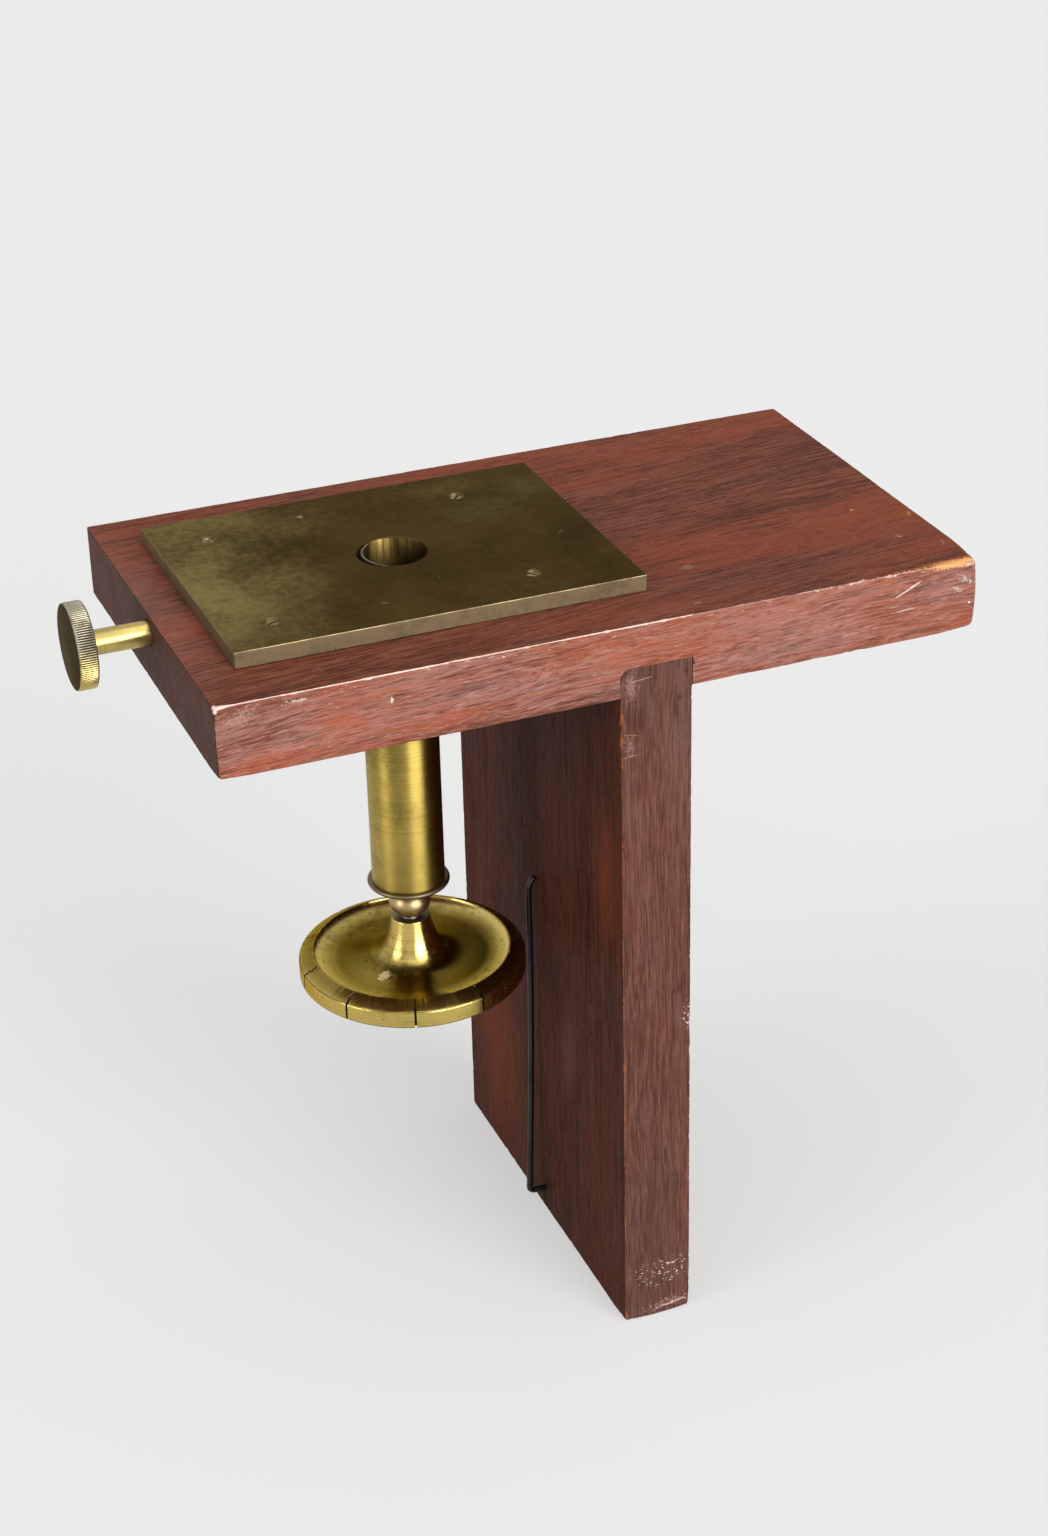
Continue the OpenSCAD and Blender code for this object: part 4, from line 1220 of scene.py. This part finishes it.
faceFinish = brassFinish(
    "headFace", (0.056, 0.049, 0.033), (0.036, 0.031, 0.021), rough=0.50, mottle=0.5, slant=(0.6, 0.5, 0.4),
)
for face in headMesh.faces:
    face.material_index = 0 if abs(face.normal.x) > 0.8 else 1
asPiece("clampHead", headMesh, [faceFinish, ribFinish()], "clamp", ["clamp_head"], sharp=60)
print("clamp made")


# Detent wire

wire = {
    "radius": 0.85, "sides": 16, "inLeg": 8.0, "up": 7.2, "run": 99.0, "low": 5.0, "high": 2.45,
    "lean": 0.85, "footBend": 1.6, "tipBend": 5.0, "tipTilt": 32.0, "across": 0.6, "gap": 0.03,
    "endRound": 0.15, "endScale": 0.8,
}


def bent(centre, radius, start, turn, steps):
    angles = [radians(start + turn * i / steps) for i in range(steps + 1)]
    return [Vector((centre[0] + radius * cos(a), 0, centre[1] + radius * sin(a))) for a in angles]


def swept(points, radius, sides, endRound, endScale):
    # A round wire along points in the XZ plane, closed and slightly rounded at both ends
    first = points[0] - (points[1] - points[0]).normalized() * endRound
    last = points[-1] + (points[-1] - points[-2]).normalized() * endRound
    stops = [(first, endScale), *[(p, 1.0) for p in points], (last, endScale)]
    bm = bmesh.new()
    rings = []
    for index, (point, scale) in enumerate(stops):
        heading = stops[min(index + 1, len(stops) - 1)][0] - stops[max(index - 1, 0)][0]
        place = Matrix.Translation(point * mm) @ heading.to_track_quat("Z", "Y").to_matrix().to_4x4()
        made = bmesh.ops.create_circle(bm, segments=sides, radius=radius * scale * mm, matrix=place)
        rings.append({e for v in made["verts"] for e in v.link_edges})
    for one, two in zip(rings, rings[1:]):
        bmesh.ops.bridge_loops(bm, edges=list(one | two))
    closeHoles(bm)
    return bm


bow = 2 * atan((wire["low"] - wire["high"]) / wire["run"])
bowDegrees = degrees(bow)
bowRadius = wire["run"] / sin(bow)
runLow = (-wire["high"] - bowRadius * (1 - cos(bow)), wire["footBend"] * (1 + sin(bow)))
runHigh = (-wire["high"], runLow[1] + wire["run"])
footCentre = (runLow[0] + wire["footBend"] * cos(bow), runLow[1] - wire["footBend"] * sin(bow))
tilt = radians(wire["tipTilt"])
tipAside, tipUp = wire["tipBend"] * (1 - cos(tilt)), wire["tipBend"] * sin(tilt)
tipStart = Vector((runHigh[0] + tipAside, 0, runHigh[1] + tipUp))
tipLength = (-tipStart.x - wire["radius"] * cos(tilt) - wire["gap"]) / sin(tilt)
wirePath = [Vector((wire["inLeg"], 0, 0))]
wirePath += bent(footCentre, wire["footBend"], 270, -90 - bowDegrees, 14)
wirePath += bent((runHigh[0] - bowRadius, runHigh[1]), bowRadius, 0.98 * -bowDegrees, 0.96 * bowDegrees, 40)
wirePath += bent((runHigh[0] + wire["tipBend"], runHigh[1]), wire["tipBend"], 180, -wire["tipTilt"], 12)
wirePath.append(tipStart + Vector((sin(tilt), 0, cos(tilt))) * tipLength)
wireMesh = swept(wirePath, wire["radius"], wire["sides"], wire["endRound"], wire["endScale"])
lay(wireMesh, spin(-wire["lean"], "X"), (legLow.x, wire["across"], legLow.z + wire["up"]))
wireFinish = brassFinish(
    "blackSteel", (0.050, 0.042, 0.040), (0.018, 0.015, 0.014), rough=0.38, mottle=0.7, pits=0.5,
)
asPiece("detentWire", wireMesh, wireFinish, "table", ["detent_wire"], sharp=50)
print("wire made")

# Pieces that keep the frame's own meshes

keptFinishes = {
    "clamp_jaw": flangeFinish,
    "clamp_nut": tubeFinish,
    "jaw_pin": steel,
    "leg_screws": steel,
    "plug_screw": steel,
}
for nodeName, material in keptFinishes.items():
    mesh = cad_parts[nodeName].data
    mesh.materials.clear()
    mesh.materials.append(material)


# Floor

floorMesh = bmesh.new()
bmesh.ops.create_grid(floorMesh, x_segments=8, y_segments=8, size=backdrop["floorReach"])
floorHeight = legLow.z * mm - backdrop["floorGap"]
bmesh.ops.translate(floorMesh, vec=(0, 0, floorHeight), verts=floorMesh.verts[:])
floorData = bpy.data.meshes.new("floor")
floorMesh.to_mesh(floorData)
floorMesh.free()
floor = addObject("floor", floorData)
paper = Finish("paper", Roughness=1.0, Specular_IOR_Level=0.0, Emission_Strength=1.0)
paperTone = 0.3 * paper.cloud(paper.here, 3.0, 2)
white = paper.blend(paperTone, *backdrop["white"])
shaded = paper.blend(paperTone, *backdrop["shaded"])
glow = paper.blend(paper.seen(), (0, 0, 0), backdrop["glow"])
paper.paint(paper.blend(paper.seen(), white, shaded), Emission_Color=glow)
floorData.materials.append(paper.material)
print("floor made")
